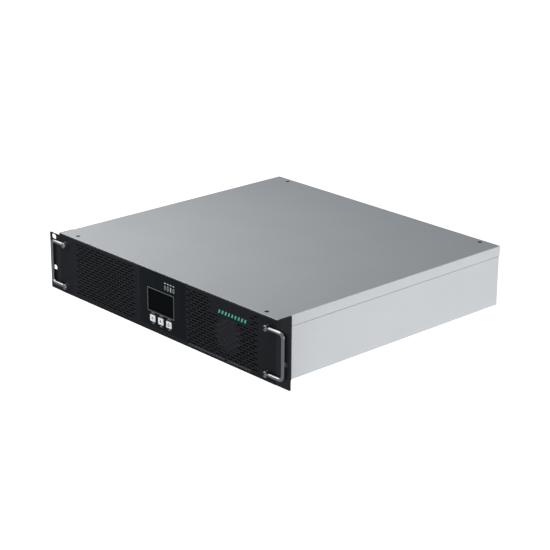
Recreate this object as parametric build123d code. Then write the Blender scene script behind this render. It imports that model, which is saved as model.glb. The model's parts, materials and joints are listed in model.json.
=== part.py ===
from build123d import *
from math import sqrt
import os

# Rack uninterruptible power supply, two rack units high, as separate sub-parts.
# +X is the viewer's right, +Y the back, +Z up. Millimetres.
# The origin is the centre of the base's underside, half way from the front face to the cover's back edge.

# ---------------------------------------------------------------- driving dimensions
body_width = 436.0
body_height = 85.0
body_depth = 408.0
sheet = 1.2
fit_gap = 0.2

ear_span = 482.6
ear_top = 81.0
ear_bottom = 0.3
ear_thickness = 2.0
ear_flange_depth = 23.0
rack_hole_spacing = 465.1
rack_unit = 44.45
upper_slot_z = 76.1
slot_length = 10.5
slot_height = 6.8

lip_depth = 14.5
lip_seam = 0.35
panel_thickness = 3.0
panel_top = 83.6
panel_corner = 3.5

slit_pitch_z = 3.86
slit_height = 1.9
slit_length = 9.0
slit_pitch_x = 11.4
slit_rows = 19
slit_first_z = 8.0
left_vent = (-183.0, -51.0)
right_vent = (49.5, 187.0)
plate_x = (99.0, 167.0)
plate_bottom = 60.5
boss_x = 128.5
boss_z = 39.5
boss_radius = 25.0
groove_depth = 0.8

module_x = 1.3
module_half = 47.0
module_bottom = 6.4
module_top = 81.8
plateau_half = 38.2
plateau_bottom = 11.9
plateau_top = 81.4
plateau_rise = 1.65
window_width = 48.4
window_height = 28.4
window_z = 44.9
frame_width = 56.0
frame_height = 34.6
button_width = 10.0
button_height = 9.0
button_pitch = 16.5
button_z = 19.9
button_travel = 0.5
indicator_pitch = 5.6
indicator_x = 10.3
indicator_z = 74.5

handle_x = 203.5
handle_bar_x = 232.5
handle_low_z = 11.6
handle_high_z = 71.4
handle_rod = 2.5
handle_corner = 6.0
handle_standoff = 3.0
post_radius = 4.0
eye_radius = 2.7
eye_thickness = 3.0
pin_radius = 1.0

battery_long = 151.0
battery_wide = 94.0
battery_tall = 65.0
battery_wall = 2.5

fan_size = 80.0
fan_depth = 38.0
fan_bore = 38.0
fan_hub = 20.0
fan_screw_pitch = 71.5
fan_z = 42.5
front_fan_x = boss_x
rear_fan_x = 52.0
blade_count = 7
running_gap = 0.05
small_screw_radius = 1.5
tongue_half_width = 2.2

# ---------------------------------------------------------------- derived places
half_width = body_width / 2
front_y = -body_depth / 2
back_y = body_depth / 2
panel_back = front_y + panel_thickness
cover_front = front_y + 1.5
rear_inner = back_y - 2 * sheet
rear_outer = back_y - sheet
lip_bottom = body_height - lip_depth
seam_z = lip_bottom - lip_seam
inner_top = body_height - sheet
joggle_x = half_width - sheet - fit_gap
lower_slot_z = upper_slot_z - rack_unit
cover_screw_x = 189.5
front_screw_y = front_y + 10.0
rear_screw_y = back_y - 8.7
plateau_y = front_y - plateau_rise
bail_y = front_y - handle_standoff
display_board_y = panel_back + 10.0
main_board_z = 8.0


# ---------------------------------------------------------------- helpers
def block(x, y, z):
    """Box between two corners, each axis given as (low, high)."""
    size = Box(x[1] - x[0], y[1] - y[0], z[1] - z[0])
    return Pos((x[0] + x[1]) / 2, (y[0] + y[1]) / 2, (z[0] + z[1]) / 2) * size


def rod_x(x0, x1, y, z, radius):
    """Cylinder along X."""
    return Pos((x0 + x1) / 2, y, z) * Rot(0, 90, 0) * Cylinder(radius, abs(x1 - x0))


def rod_y(x, y0, y1, z, radius):
    """Cylinder along Y."""
    return Pos(x, (y0 + y1) / 2, z) * Rot(90, 0, 0) * Cylinder(radius, abs(y1 - y0))


def rod_z(x, y, z0, z1, radius):
    """Cylinder along Z."""
    return Pos(x, y, (z0 + z1) / 2) * Cylinder(radius, abs(z1 - z0))


def slab(profile, y0, y1):
    """A sketch drawn in X and Z, made solid from y0 back to y1."""
    face = Plane(origin=(0, y0, 0), x_dir=(1, 0, 0), z_dir=(0, -1, 0))
    return extrude(face * profile, amount=y0 - y1)


def rect(x, z, radius=0.0):
    """Rectangle in the front view between two corners, with rounded corners if asked."""
    width = x[1] - x[0]
    height = z[1] - z[0]
    shape = RectangleRounded(width, height, radius) if radius else Rectangle(width, height)
    return Pos((x[0] + x[1]) / 2, (z[0] + z[1]) / 2) * shape


def around(centre, half):
    """Range of given half width about a centre."""
    return (centre - half, centre + half)


def mirrored(part):
    """The same part on the other side of the case."""
    return mirror(part, about=Plane.YZ)


def save(name, *pieces):
    """Write one sub-part, with each piece as its own solid."""
    solids = []
    for piece in pieces:
        solids.extend(piece.solids())
    export_step(Compound(solids), f"parts/{name}.step")


def cross_recess(depth, reach):
    """Cross slot of a screw head, cut downwards from the origin."""
    width = reach / 3
    arm = Pos(0, 0, -depth / 2) * Box(2 * reach, width, depth)
    return arm + Rot(0, 0, 90) * arm


def countersunk_screw(length, head=3.0, shank=1.5, head_height=1.2):
    """Flat-headed screw, head up, with its top face at the origin."""
    cone = Pos(0, 0, -head_height / 2) * Cone(shank, head, head_height)
    stem = rod_z(0, 0, -length, -head_height, shank)
    return cone + stem - cross_recess(0.7, head * 0.6)


def pan_screw(length, head=2.8, shank=1.45, head_height=2.0):
    """Pan-headed screw, head up, with the underside of its head at the origin."""
    disc = rod_z(0, 0, 0, head_height, head)
    disc = fillet(disc.edges().filter_by(GeomType.CIRCLE).sort_by(Axis.Z)[-1], 0.9)
    stem = rod_z(0, 0, -length, 0, shank)
    return disc + stem - Pos(0, 0, head_height) * cross_recess(1.0, head * 0.6)


def countersink(radius=3.0, hole=1.6, depth=1.2):
    """Cutter for a flat-headed screw, with its wide end at the origin."""
    return Pos(0, 0, -depth / 2) * Cone(hole, radius + 0.1, depth) + rod_z(0, 0, -4, -depth + 0.01, hole)


def facing(x, y, z, direction):
    """Place something made along +Z so that it faces a main direction."""
    turns = {"up": (0, 0, 0), "down": (180, 0, 0), "front": (90, 0, 0), "back": (-90, 0, 0),
             "right": (0, 90, 0), "left": (0, -90, 0)}
    return Pos(x, y, z) * Rot(*turns[direction])


# ---------------------------------------------------------------- case
cover_screw_places = [(side * cover_screw_x, y) for side in (-1, 1) for y in (front_screw_y, rear_screw_y)]
base_screw_places = [(-200.0, 196.0), (0.0, 196.0), (200.0, 196.0), (-200.0, -192.0), (200.0, -192.0),
                     (-95.0, -192.0), (8.0, -60.0), (8.0, 60.0)]
ear_screw_z = (15.0, 36.0, 57.0)
ear_screw_y = front_y + 13.0


def chassis_tray():
    """Folded floor and side walls, joggled inwards where the cover's lip lies over them."""
    points = [(0, 0), (half_width, 0), (half_width, seam_z), (joggle_x, seam_z), (joggle_x, panel_top),
              (joggle_x - sheet, panel_top), (joggle_x - sheet, seam_z - sheet),
              (half_width - sheet, seam_z - sheet), (half_width - sheet, sheet), (0, sheet)]
    outline = points + [(-x, z) for x, z in reversed(points[1:-1])]
    section = make_face(Polyline(*outline, close=True))
    corners = [v for v in section.vertices() if abs(v.Y) < 1e-6 and abs(v.X) > half_width - 1]
    tray = slab(fillet(corners, 1.5), panel_back, rear_outer)
    for x, y in base_screw_places:
        tray -= facing(x, y, 0, "down") * countersink()
    for side in (-1, 1):
        for z in ear_screw_z:
            tray -= rod_x(side * (joggle_x - 3), side * (half_width + 1), ear_screw_y, z, 1.6)
    return tray


def top_cover():
    """Flat cover with a lip folded down over each side wall."""
    points = [(-half_width, lip_bottom), (-half_width, body_height), (half_width, body_height),
              (half_width, lip_bottom), (half_width - sheet, lip_bottom), (half_width - sheet, inner_top),
              (sheet - half_width, inner_top), (sheet - half_width, lip_bottom)]
    section = make_face(Polyline(*points, close=True))
    corners = [v for v in section.vertices() if abs(v.Y - body_height) < 1e-6]
    cover = slab(fillet(corners, 1.0), cover_front, back_y)
    cover -= block((-half_width - 1, half_width + 1), (cover_front - 1, panel_back), (0, panel_top + 0.1))
    for x, y in cover_screw_places:
        cover -= facing(x, y, body_height, "up") * countersink()
    return cover


def countersunk_screws():
    """Flat-headed screws of the cover and the base."""
    screws = [facing(x, y, body_height, "up") * countersunk_screw(5) for x, y in cover_screw_places]
    screws += [facing(x, y, 0, "down") * countersunk_screw(5) for x, y in base_screw_places]
    return screws


def front_frame():
    """Steel sheet behind the front panel, with windows for air and for the display, and folded flanges."""
    x_reach = joggle_x - sheet - fit_gap
    outline = rect((-x_reach, x_reach), (sheet, inner_top))
    outline -= rect((left_vent[0] - 2, left_vent[1] + 1), (5.5, 79.5), 3)
    outline -= rect(around(module_x, module_half + 2), (4.0, 82.0), 2)
    outline -= Pos(front_fan_x, fan_z) * Circle(fan_bore)
    outline -= rect((52.5, 86.0), (5.5, 79.5), 3)
    outline -= rect((171.0, right_vent[1]), (5.5, 79.5), 3)
    web = slab(outline, panel_back, panel_back + sheet)
    flange_y = (panel_back, front_y + 20)
    frame = web + block((-x_reach, x_reach), flange_y, (inner_top - sheet, inner_top))
    frame += block((-x_reach, x_reach), flange_y, (sheet, 2 * sheet))
    for x, y in cover_screw_places:
        frame -= rod_z(x, y, inner_top - 3, inner_top + 1, 1.6)
    for x, y in base_screw_places:
        frame -= rod_z(x, y, 0, 4, 1.6)
    for x, z in panel_screw_places() + handle_places():
        frame -= rod_y(x, panel_back - 1, panel_back + 3, z, 1.6)
    for x, z in fan_holes(front_fan_x):
        frame -= facing(x, panel_back, z, "front") * countersink(3.4, 2.2)
    return frame


def panel_screw_places():
    """Screws that hold the front panel to its frame."""
    return [(x, z) for x in (-190.0, 190.0) for z in (12.0, 42.0, 72.0)]


def handle_places():
    """Feet of the four handle posts."""
    return [(side * handle_x, z) for side in (-1, 1) for z in (handle_low_z, handle_high_z)]


def fan_holes(x):
    """The four screw holes of a fan."""
    half = fan_screw_pitch / 2
    return [(x + i * half, fan_z + k * half) for i in (-1, 1) for k in (-1, 1)]


# ---------------------------------------------------------------- front panel
def slit_places(vent):
    """Middles of the ventilation slits of one vent, each row shifted by half a slit from the last."""
    places = []
    for row in range(slit_rows):
        x = vent[0] + slit_length / 2 + (row % 2) * slit_pitch_x / 2
        while x + slit_length / 2 <= vent[1] + 0.01:
            places.append((x, slit_first_z + row * slit_pitch_z))
            x += slit_pitch_x
    return places


def on_plate(x, z):
    """True where the plain name plate area leaves no room for a slit."""
    return plate_x[0] - slit_length / 2 < x < plate_x[1] + slit_length / 2 and z > plate_bottom


def on_boss(x, z):
    """True where the panel is closed in front of the fan's hub, and slits are only grooves."""
    return (x - boss_x) ** 2 + (z - boss_z) ** 2 < boss_radius ** 2


def front_panel():
    """Moulded front panel with two fields of slits and a pocket for the display unit."""
    outline = rect((0.2 - half_width, half_width - 0.2), (0.0, panel_top))
    low_corners = [v for v in outline.vertices() if v.Y < 1]
    outline = fillet(low_corners, 0.8)
    top_corners = [v for v in outline.vertices() if v.Y > panel_top - 1]
    outline = fillet(top_corners, panel_corner)
    outline -= rect(around(module_x, module_half + 0.1), (module_bottom - 0.1, module_top + 0.1))
    slits = slit_places(left_vent) + slit_places(right_vent)
    holes = [(x, z) for x, z in slits if not on_plate(x, z) and not on_boss(x, z)]
    grooves = [(x, z) for x, z in slits if on_boss(x, z) and not on_plate(x, z)]
    cuts = [Pos(x, z) * Rectangle(slit_length, slit_height) for x, z in holes]
    outline -= cuts
    panel = slab(outline, front_y, panel_back)
    shallow = [Pos(x, z) * Rectangle(slit_length, slit_height) for x, z in grooves]
    panel -= slab(Sketch() + shallow, front_y, front_y + groove_depth)
    for x, z in panel_screw_places():
        panel -= rod_y(x, panel_back - 2.2, panel_back + 1, z, 1.5)
    for x, z in handle_places():
        panel -= rod_y(x, front_y - 1, panel_back + 1, z, post_radius + 0.1)
    return panel


# ---------------------------------------------------------------- rack ears and handles
def right_ear():
    """Angle with a slotted face, whose flange is screwed to the side of the case."""
    face = rect((half_width, ear_span / 2), (ear_bottom, ear_top))
    outer = [v for v in face.vertices() if v.X > half_width + 1]
    face = fillet(outer, 1.0)
    for z in (lower_slot_z, upper_slot_z):
        face -= Pos(rack_hole_spacing / 2, z) * SlotOverall(slot_length, slot_height)
    plate = slab(face, front_y, front_y + ear_thickness)
    side_x = (half_width, half_width + ear_thickness)
    side_y = (front_y + ear_thickness, front_y + ear_flange_depth)
    flange = block(side_x, side_y, (ear_bottom, body_height - 0.4))
    flange += block(side_x, (front_y + 0.4, front_y + ear_thickness), (ear_top, body_height - 0.4))
    ear = plate + flange
    for z in ear_screw_z:
        ear -= facing(half_width + ear_thickness, ear_screw_y, z, "right") * countersink()
    return ear


def ear_screws():
    """Flat-headed screws through the ears' flanges."""
    right = [facing(half_width + ear_thickness, ear_screw_y, z, "right") * countersunk_screw(6)
             for z in ear_screw_z]
    return right + [mirrored(screw) for screw in right]


def right_bail():
    """Round bar bent to a U, with a flat eye at the end of each leg."""
    start_x = handle_x + 5.5
    path = FilletPolyline((start_x, bail_y, handle_low_z), (handle_bar_x, bail_y, handle_low_z),
                          (handle_bar_x, bail_y, handle_high_z), (start_x, bail_y, handle_high_z),
                          radius=handle_corner)
    section = Plane(origin=(start_x, bail_y, handle_low_z), z_dir=(1, 0, 0)) * Circle(handle_rod)
    bail = sweep(section, path)
    half = eye_thickness / 2
    for z in (handle_low_z, handle_high_z):
        tongue = block((handle_x, start_x + 0.5), around(bail_y, tongue_half_width), around(z, half))
        bail += tongue + rod_z(handle_x, bail_y, z - half, z + half, eye_radius)
        bail -= rod_z(handle_x, bail_y, z - 5, z + 5, pin_radius + running_gap)
    return bail


def handle_post(z):
    """Round post through the front panel, seated on its frame and forked round the eye of a handle."""
    tip_y = bail_y - eye_radius - 0.7
    fork_floor = front_y + 0.1
    post = rod_y(handle_x, tip_y, panel_back, z, post_radius)
    rim = post.edges().filter_by(GeomType.CIRCLE).sort_by(Axis.Y)[0]
    post = fillet(rim, 0.8)
    post -= block(around(handle_x, 6), (tip_y - 1, fork_floor), around(z, eye_thickness / 2 + 0.15))
    post -= rod_z(handle_x, bail_y, z - 6, z + 6, pin_radius + 0.02)
    return post - rod_y(handle_x, fork_floor + 0.3, panel_back + 1, z, small_screw_radius)


def handle_posts():
    """The four forked posts."""
    right = [handle_post(z) for z in (handle_low_z, handle_high_z)]
    return right + [mirrored(post) for post in right]


def handle_pins():
    """The four hinge pins of the handles."""
    reach = sqrt(post_radius ** 2 - pin_radius ** 2) - 0.2
    return [rod_z(x, bail_y, z - reach, z + reach, pin_radius) for x, z in handle_places()]


# ---------------------------------------------------------------- display unit
button_names = ("left", "middle", "right")
button_x = [module_x + step * button_pitch for step in (-1, 0, 1)]
indicator_places = [indicator_x + step * indicator_pitch for step in range(4)]
board_screw_places = [(module_x + i * 41.0, z) for i in (-1, 1) for z in (10.5, 75.0)]
board_front = display_board_y
pillar_foot = 1.6
pillar_foot_radius = 2.2
switch_front = board_front - 3.5


def display_bezel():
    """Moulded surround: a plate in the panel's pocket that rises to a flat face with sloping sides."""
    base = rect(around(module_x, module_half), (module_bottom, module_top))
    raised = rect(around(module_x, plateau_half), (plateau_bottom, plateau_top))
    front = Plane(origin=(0, front_y, 0), x_dir=(1, 0, 0), z_dir=(0, -1, 0))
    face = Plane(origin=(0, plateau_y, 0), x_dir=(1, 0, 0), z_dir=(0, -1, 0))
    bezel = slab(base, front_y, panel_back) + loft([front * base, face * raised], ruled=True)
    pocket_x = around(module_x, frame_width / 2 + 0.05)
    pocket_z = around(window_z, frame_height / 2 + 0.05)
    bezel -= slab(rect(pocket_x, pocket_z, 1.55),
                  plateau_y - 1, plateau_y + 1.0)
    bezel -= slab(rect(around(module_x, 23.0), around(window_z, 13.2)), plateau_y, panel_back + 1)
    for x in button_x:
        opening = rect(around(x, button_width / 2 + 0.15), around(button_z, button_height / 2 + 0.15), 0.9)
        bezel -= slab(opening, plateau_y - 1, panel_back + 1)
    for x in indicator_places:
        bezel -= slab(rect(around(x, 1.55), around(indicator_z, 0.8)), plateau_y - 1, panel_back + 1)
    for x, z in board_screw_places:
        bezel -= rod_y(x, panel_back - pillar_foot, panel_back + 1, z, pillar_foot_radius)
    return bezel


def display_pillars():
    """Threaded pillars pressed into the back of the bezel, which carry the display board."""
    pillars = []
    for x, z in board_screw_places:
        pillar = rod_y(x, panel_back, board_front, z, 3.0)
        pillar += rod_y(x, panel_back - pillar_foot, panel_back, z, pillar_foot_radius)
        pillars.append(pillar - rod_y(x, panel_back + 1, board_front + 1, z, small_screw_radius))
    return pillars


def display_frame():
    """Thin grey surround of the display window."""
    ring = rect(around(module_x, frame_width / 2), around(window_z, frame_height / 2), 1.5)
    ring -= rect(around(module_x, window_width / 2), around(window_z, window_height / 2), 0.8)
    return slab(ring, plateau_y - 0.3, plateau_y + 1.0)


def display_window():
    """Clear pane inside the frame."""
    pane = rect(around(module_x, window_width / 2 - 0.1), around(window_z, window_height / 2 - 0.1), 0.7)
    return slab(pane, plateau_y + 0.1, plateau_y + 1.0)


def display_module():
    """Liquid crystal display in its metal tray, against the back of the bezel."""
    tray = block(around(module_x, 27.0), (panel_back, panel_back + 5.0), around(window_z, 15.5))
    glass = block(around(module_x, 22.6), (panel_back - 1.2, panel_back), around(window_z, 12.8))
    pins = [rod_y(module_x - 20 + step * 4.0, panel_back + 5.0, board_front, window_z + 13, 0.6)
            for step in range(11)]
    return [tray, glass] + pins


def push_button(x):
    """Square key with a retaining flange and a stem that meets the switch."""
    cap = slab(rect(around(x, button_width / 2), around(button_z, button_height / 2), 0.8),
               plateau_y - 1.1, panel_back + 0.1)
    rim = cap.edges().group_by(Axis.Y)[0]
    cap = fillet(rim, 0.4)
    flange = slab(rect(around(x, 6.2), around(button_z, 5.7), 0.8), panel_back + 0.1, panel_back + 1.1)
    stem = rod_y(x, panel_back + 1.1, switch_front - 1.5, button_z, 1.75)
    return cap + flange + stem


def switch_plunger(x):
    """Round plunger of one switch, face to face with the key's stem."""
    return rod_y(x, switch_front - 1.5, switch_front + 1.0, button_z, 1.6)


def button_switches():
    """Three small press switches on the display board."""
    cases = []
    for x in button_x:
        case = block(around(x, 3.0), (switch_front, board_front), around(button_z, 3.0))
        cases.append(case - rod_y(x, switch_front - 1, switch_front + 1.0 + button_travel + 0.3, button_z,
                                  1.6 + running_gap))
    return cases


def light_pipes():
    """Clear bars that carry each indicator's light from the board to the face."""
    return [block(around(x, 1.5), (plateau_y - 0.1, board_front - 1.5), around(indicator_z, 0.75))
            for x in indicator_places]


def display_board():
    """Circuit board of the display, with its light emitters and a cable header."""
    board = block(around(module_x, 45.0), (board_front, board_front + 1.6), (7.0, 79.5))
    for x, z in board_screw_places:
        board -= rod_y(x, board_front - 1, board_front + 3, z, 1.6)
    header = block(around(module_x + 20, 8.0), (board_front + 1.6, board_front + 9.6), around(30.0, 3.0))
    emitters = [block(around(x, 1.4), (board_front - 1.4, board_front), around(indicator_z, 0.7))
                for x in indicator_places]
    return [board, header] + emitters


# ---------------------------------------------------------------- batteries
battery_gap = 4.0
battery_front_y = front_y + 36.0
battery_low_z = sheet + 1.0
battery_left_x = -213.0
battery_right_x = -105.0
battery_corners = [(battery_left_x, battery_front_y),
                   (battery_left_x, battery_front_y + battery_long + battery_gap),
                   (battery_right_x, battery_front_y)]


def battery_case(corner):
    """Hollow battery case lying on its side, its lid and terminals towards +X."""
    x, y = corner
    case = block((x, x + battery_wide), (y, y + battery_long), (battery_low_z, battery_low_z + battery_tall))
    case = fillet(case.edges(), 2.0)
    groove_x = (x + battery_wide - 18.0, x + battery_wide - 17.0)
    lid_line = block(groove_x, (y - 1, y + battery_long + 1), (0, 90))
    lid_line -= block((x, x + 120), (y + 0.6, y + battery_long - 0.6),
                      (battery_low_z + 0.6, battery_low_z + battery_tall - 0.6))
    room = block((x + battery_wall, x + battery_wide - battery_wall),
                 (y + battery_wall, y + battery_long - battery_wall),
                 (battery_low_z + battery_wall, battery_low_z + battery_tall - battery_wall))
    case = case - lid_line - room
    for place in terminal_places(corner):
        case -= rod_x(x + battery_wide - 5, x + battery_wide + 1, place[0], place[1], 2.5)
    return case


def terminal_places(corner):
    """Y and Z of the two terminals of a battery."""
    y = corner[1]
    z = battery_low_z + battery_tall - 14.0
    return [(y + 10.0, z), (y + battery_long - 10.0, z)]


def battery_cells(corner):
    """Plate pack inside a battery."""
    x, y = corner
    return block((x + 5, x + battery_wide - 12), (y + 6, y + battery_long - 6),
                 (battery_low_z + battery_wall, battery_low_z + battery_wall + 29.0))


def battery_terminals(corner):
    """Flat tab and round foot of each terminal."""
    x = corner[0] + battery_wide
    tabs = []
    for y, z in terminal_places(corner):
        foot = rod_x(x - battery_wall, x + 0.6, y, z, 2.5)
        tab = block((x + 0.6, x + 6.5), around(y, 3.2), around(z, 0.4))
        tabs.append(foot + tab)
    return tabs


def battery_links():
    """Insulated leads between the batteries, bent round in the gap beside the terminals."""
    x = battery_left_x + battery_wide + 4.0
    z = battery_low_z + battery_tall - 14.0 + 2.3
    first, second, third = battery_corners
    near = first[1] + battery_long - 10.0
    far = second[1] + 10.0
    link = rod_y(x, near - 4, far + 4, z, 1.8)
    cross_y = battery_front_y - 6.0
    other_x = third[0] + battery_wide + 4.0
    path = FilletPolyline((x, first[1] + 14.0, z), (x, cross_y, z), (other_x, cross_y, z),
                          (other_x, third[1] + 14.0, z), radius=5.0)
    section = Plane(origin=(x, first[1] + 14.0, z), z_dir=(0, -1, 0)) * Circle(1.8)
    return [link, sweep(section, path)]


def battery_clamps():
    """Two folded bars across the batteries, screwed down at both ends."""
    top = battery_low_z + battery_tall
    bars = []
    for y in (battery_front_y + 40.0, battery_front_y + 120.0):
        bar = block((-214.6, 1.0), around(y, 8.0), (top, top + sheet))
        bar += block((-0.2, 1.0), around(y, 8.0), (sheet, top + sheet))
        bars.append(bar)
    bars.append(block((-214.6, -101.0), around(battery_corners[1][1] + 80.0, 8.0), (top, top + sheet)))
    return bars


def partition_wall():
    """Sheet between the batteries and the power stage, with a folded foot."""
    wall = block((2.0, 2.0 + sheet), (-165.0, 150.0), (sheet, 72.0))
    foot = block((2.0, 14.0), (-165.0, 150.0), (sheet, 2 * sheet))
    wall += foot
    for x, y in base_screw_places:
        wall -= rod_z(x, y, 0, 4, 1.6)
    return wall


# ---------------------------------------------------------------- power stage
board_x = (18.0, 212.0)
board_y = (-152.0, 152.0)
board_top = main_board_z + 1.6
sink_x = (78.0, 156.0)
sink_height = 45.0
sink_half_length = 90.0
capacitor_x = 120.0


def main_board():
    """Power circuit board on standoffs."""
    board = block(board_x, board_y, (main_board_z, board_top))
    for x, y in standoff_places():
        board -= rod_z(x, y, main_board_z - 1, board_top + 1, 1.6)
    return board


def standoff_places():
    """Middles of the main board's standoffs."""
    return [(x, y) for x in (board_x[0] + 6, 115.0, board_x[1] - 6) for y in (-146.0, 0.0, 146.0)]


def board_standoffs():
    """Hexagonal pillars between the base and the main board."""
    pillar = extrude(RegularPolygon(3.2, 6), amount=main_board_z - sheet)
    return [Pos(x, y, sheet) * pillar for x, y in standoff_places()]


def heat_sink(x):
    """Extruded aluminium section with fins on its outer side, standing along the board."""
    low = board_top
    base = block((x, x + 5.0), (-sink_half_length, sink_half_length), (low, low + sink_height))
    for step in range(9):
        z = low + 1.0 + step * (sink_height - 3.5) / 8
        base += block((x + 4.9, x + 24.0), (-sink_half_length, sink_half_length), (z, z + 1.5))
    return base


def power_transistors():
    """Transistor packages clamped to the flat side of each heat sink."""
    packages = []
    for x in sink_x:
        for step in range(6):
            y = -75.0 + step * 30.0
            packages.append(block((x - 5.0, x), around(y, 8.0), (board_top + 12.0, board_top + 32.0)))
    return packages


def bus_capacitors():
    """Electrolytic capacitors standing between the heat sinks."""
    cans = []
    for step in range(5):
        can = rod_z(capacitor_x, (step - 2) * 36.0, board_top, board_top + 45.0, 15.0)
        cans.append(fillet(can.edges().filter_by(GeomType.CIRCLE).sort_by(Axis.Z)[-1], 1.5))
    return cans


def filter_chokes():
    """Toroidal chokes standing on edge near the right wall."""
    rings = []
    for y in (-110.0, -20.0, 70.0):
        ring = rod_x(188.0, 206.0, y, board_top + 20.0, 20.0) - rod_x(187.0, 207.0, y, board_top + 20.0, 9.0)
        rings.append(fillet(ring.edges().filter_by(GeomType.CIRCLE), 3.0))
    return rings


def power_transformer():
    """Ferrite core, and the winding round its middle leg."""
    x, y = 50.0, -118.0
    core = block(around(x, 25.0), around(y, 15.0), (board_top, board_top + 46.0))
    core -= block(around(x, 17.0), around(y, 16.0), (board_top + 8.0, board_top + 38.0))
    winding = block(around(x, 16.5), around(y, 22.0), (board_top + 8.5, board_top + 37.5))
    return [core, fillet(winding.edges().filter_by(Axis.X), 5.0)]


def relays():
    """Sealed relays near the back of the board."""
    return [block(around(40.0 + step * 34.0, 14.0), around(128.0, 6.5), (board_top, board_top + 16.0))
            for step in range(4)]


def control_board():
    """Upright board with the processor, plugged into the main board."""
    board = block((44.0, 45.6), (-70.0, 70.0), (board_top + 2.0, board_top + 52.0))
    header = block((40.0, 49.6), (-50.0, 50.0), (board_top, board_top + 2.0))
    chip = block((45.6, 47.2), (-10.0, 10.0), (board_top + 18.0, board_top + 38.0))
    return [board, header, chip]


# ---------------------------------------------------------------- fans
def fan_frame(x, y0):
    """Square housing with a round duct, and struts at its back that carry the bearing seat."""
    y1 = y0 + fan_depth
    seat_y = (y1 - 5.0, y1)
    body = slab(rect(around(x, fan_size / 2), around(fan_z, fan_size / 2), 4.0), y0, y1)
    body -= rod_y(x, y0 - 1, y1 + 1, fan_z, fan_bore)
    seat = rod_y(x, seat_y[0], seat_y[1], fan_z, fan_hub)
    for step in range(4):
        strut = block((0.0, fan_bore + 1), seat_y, (-1.5, 1.5))
        seat += Pos(x, 0, fan_z) * Rot(0, 35 + 90 * step, 0) * strut
    body += seat
    body -= rod_y(x, y1 - 6, y1 - 1.5, fan_z, 2.0 + running_gap)
    for hole_x, hole_z in fan_holes(x):
        body -= rod_y(hole_x, y0 - 1, y1 + 1, hole_z, 2.2)
    return body


def fan_rotor(x, y0):
    """Hub with pitched blades and a short shaft."""
    y1 = y0 + fan_depth - 5.6
    hub = rod_y(x, y0 + 1.5, y1, fan_z, fan_hub)
    hub = fillet(hub.edges().filter_by(GeomType.CIRCLE).sort_by(Axis.Y)[0], 1.5)
    rotor = hub + rod_y(x, y1 - 1, y1 + 4.0, fan_z, 2.0)
    middle = (y0 + 3.0 + y1 - 1.0) / 2
    duct = rod_y(0, -30, 30, 0, fan_bore - 1.2)
    blade = Pos((fan_hub + fan_bore) / 2, 0, 0) * Rot(38, 0, 0) * Box(fan_bore - fan_hub + 6, 34.0, 1.4)
    blade = blade & duct
    for step in range(blade_count):
        rotor += Pos(x, middle, fan_z) * Rot(0, step * 360 / blade_count, 0) * blade
    return rotor


def rear_fan_guard():
    """Finger guard of concentric rings on the outside of the rear panel."""
    guard = Sketch()
    for radius in (10.0, 17.0, 24.0, 31.0, 38.0):
        guard += Circle(radius + 0.9) - Circle(radius - 0.9)
    for angle in (45, 135):
        guard += Rot(0, 0, angle) * (Rectangle(fan_screw_pitch * sqrt(2), 2.2) - Circle(9.5))
    half = fan_screw_pitch / 2
    for i in (-1, 1):
        for k in (-1, 1):
            guard += Pos(i * half, k * half) * Circle(4.2)
            guard -= Pos(i * half, k * half) * Circle(2.3)
    return slab(Pos(rear_fan_x, fan_z) * guard, rear_outer, rear_outer + 1.8)


def fan_screws():
    """Pan-headed screws of both fans."""
    front = [facing(x, panel_back, z, "front") * countersunk_screw(12, head=3.4, shank=2.1, head_height=1.2)
             for x, z in fan_holes(front_fan_x)]
    rear = [facing(x, rear_outer + 1.8, z, "back") * pan_screw(12, head=3.8, shank=2.1, head_height=2.4)
            for x, z in fan_holes(rear_fan_x)]
    return front + rear


# ---------------------------------------------------------------- rear panel
inlet_x = -161.0
inlet_z = 46.0
breaker_x = -196.0
breaker_z = 55.0
outlet_x = -66.0
outlet_z = 42.5
outlet_pitch_x = 29.5
outlet_pitch_z = 25.0
outlet_columns = 4
outlet_rows = 2
slot_x = 140.0
slot_z = 62.0
usb_x = 112.0
serial_x = 145.0
port_z = 22.0
jack_x = 192.0
jack_z = 62.0
connector_x = 188.0
connector_z = 22.0
earth_x = -196.0
earth_z = 20.0
rear_seam_x = 5.0
bank_half_x = outlet_columns * outlet_pitch_x / 2 + 1.5
bank_half_z = outlet_rows * outlet_pitch_z / 2 + 1.5


def rear_case_screws():
    """Small pan-headed screws on the rear panel."""
    ends = [(inlet_x + i * 19.5, inlet_z) for i in (-1, 1)]
    ends += [(outlet_x + i * (bank_half_x + 4.0), outlet_z) for i in (-1, 1)]
    ends += [(slot_x + i * 29.0, slot_z) for i in (-1, 1)]
    return ends


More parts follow.
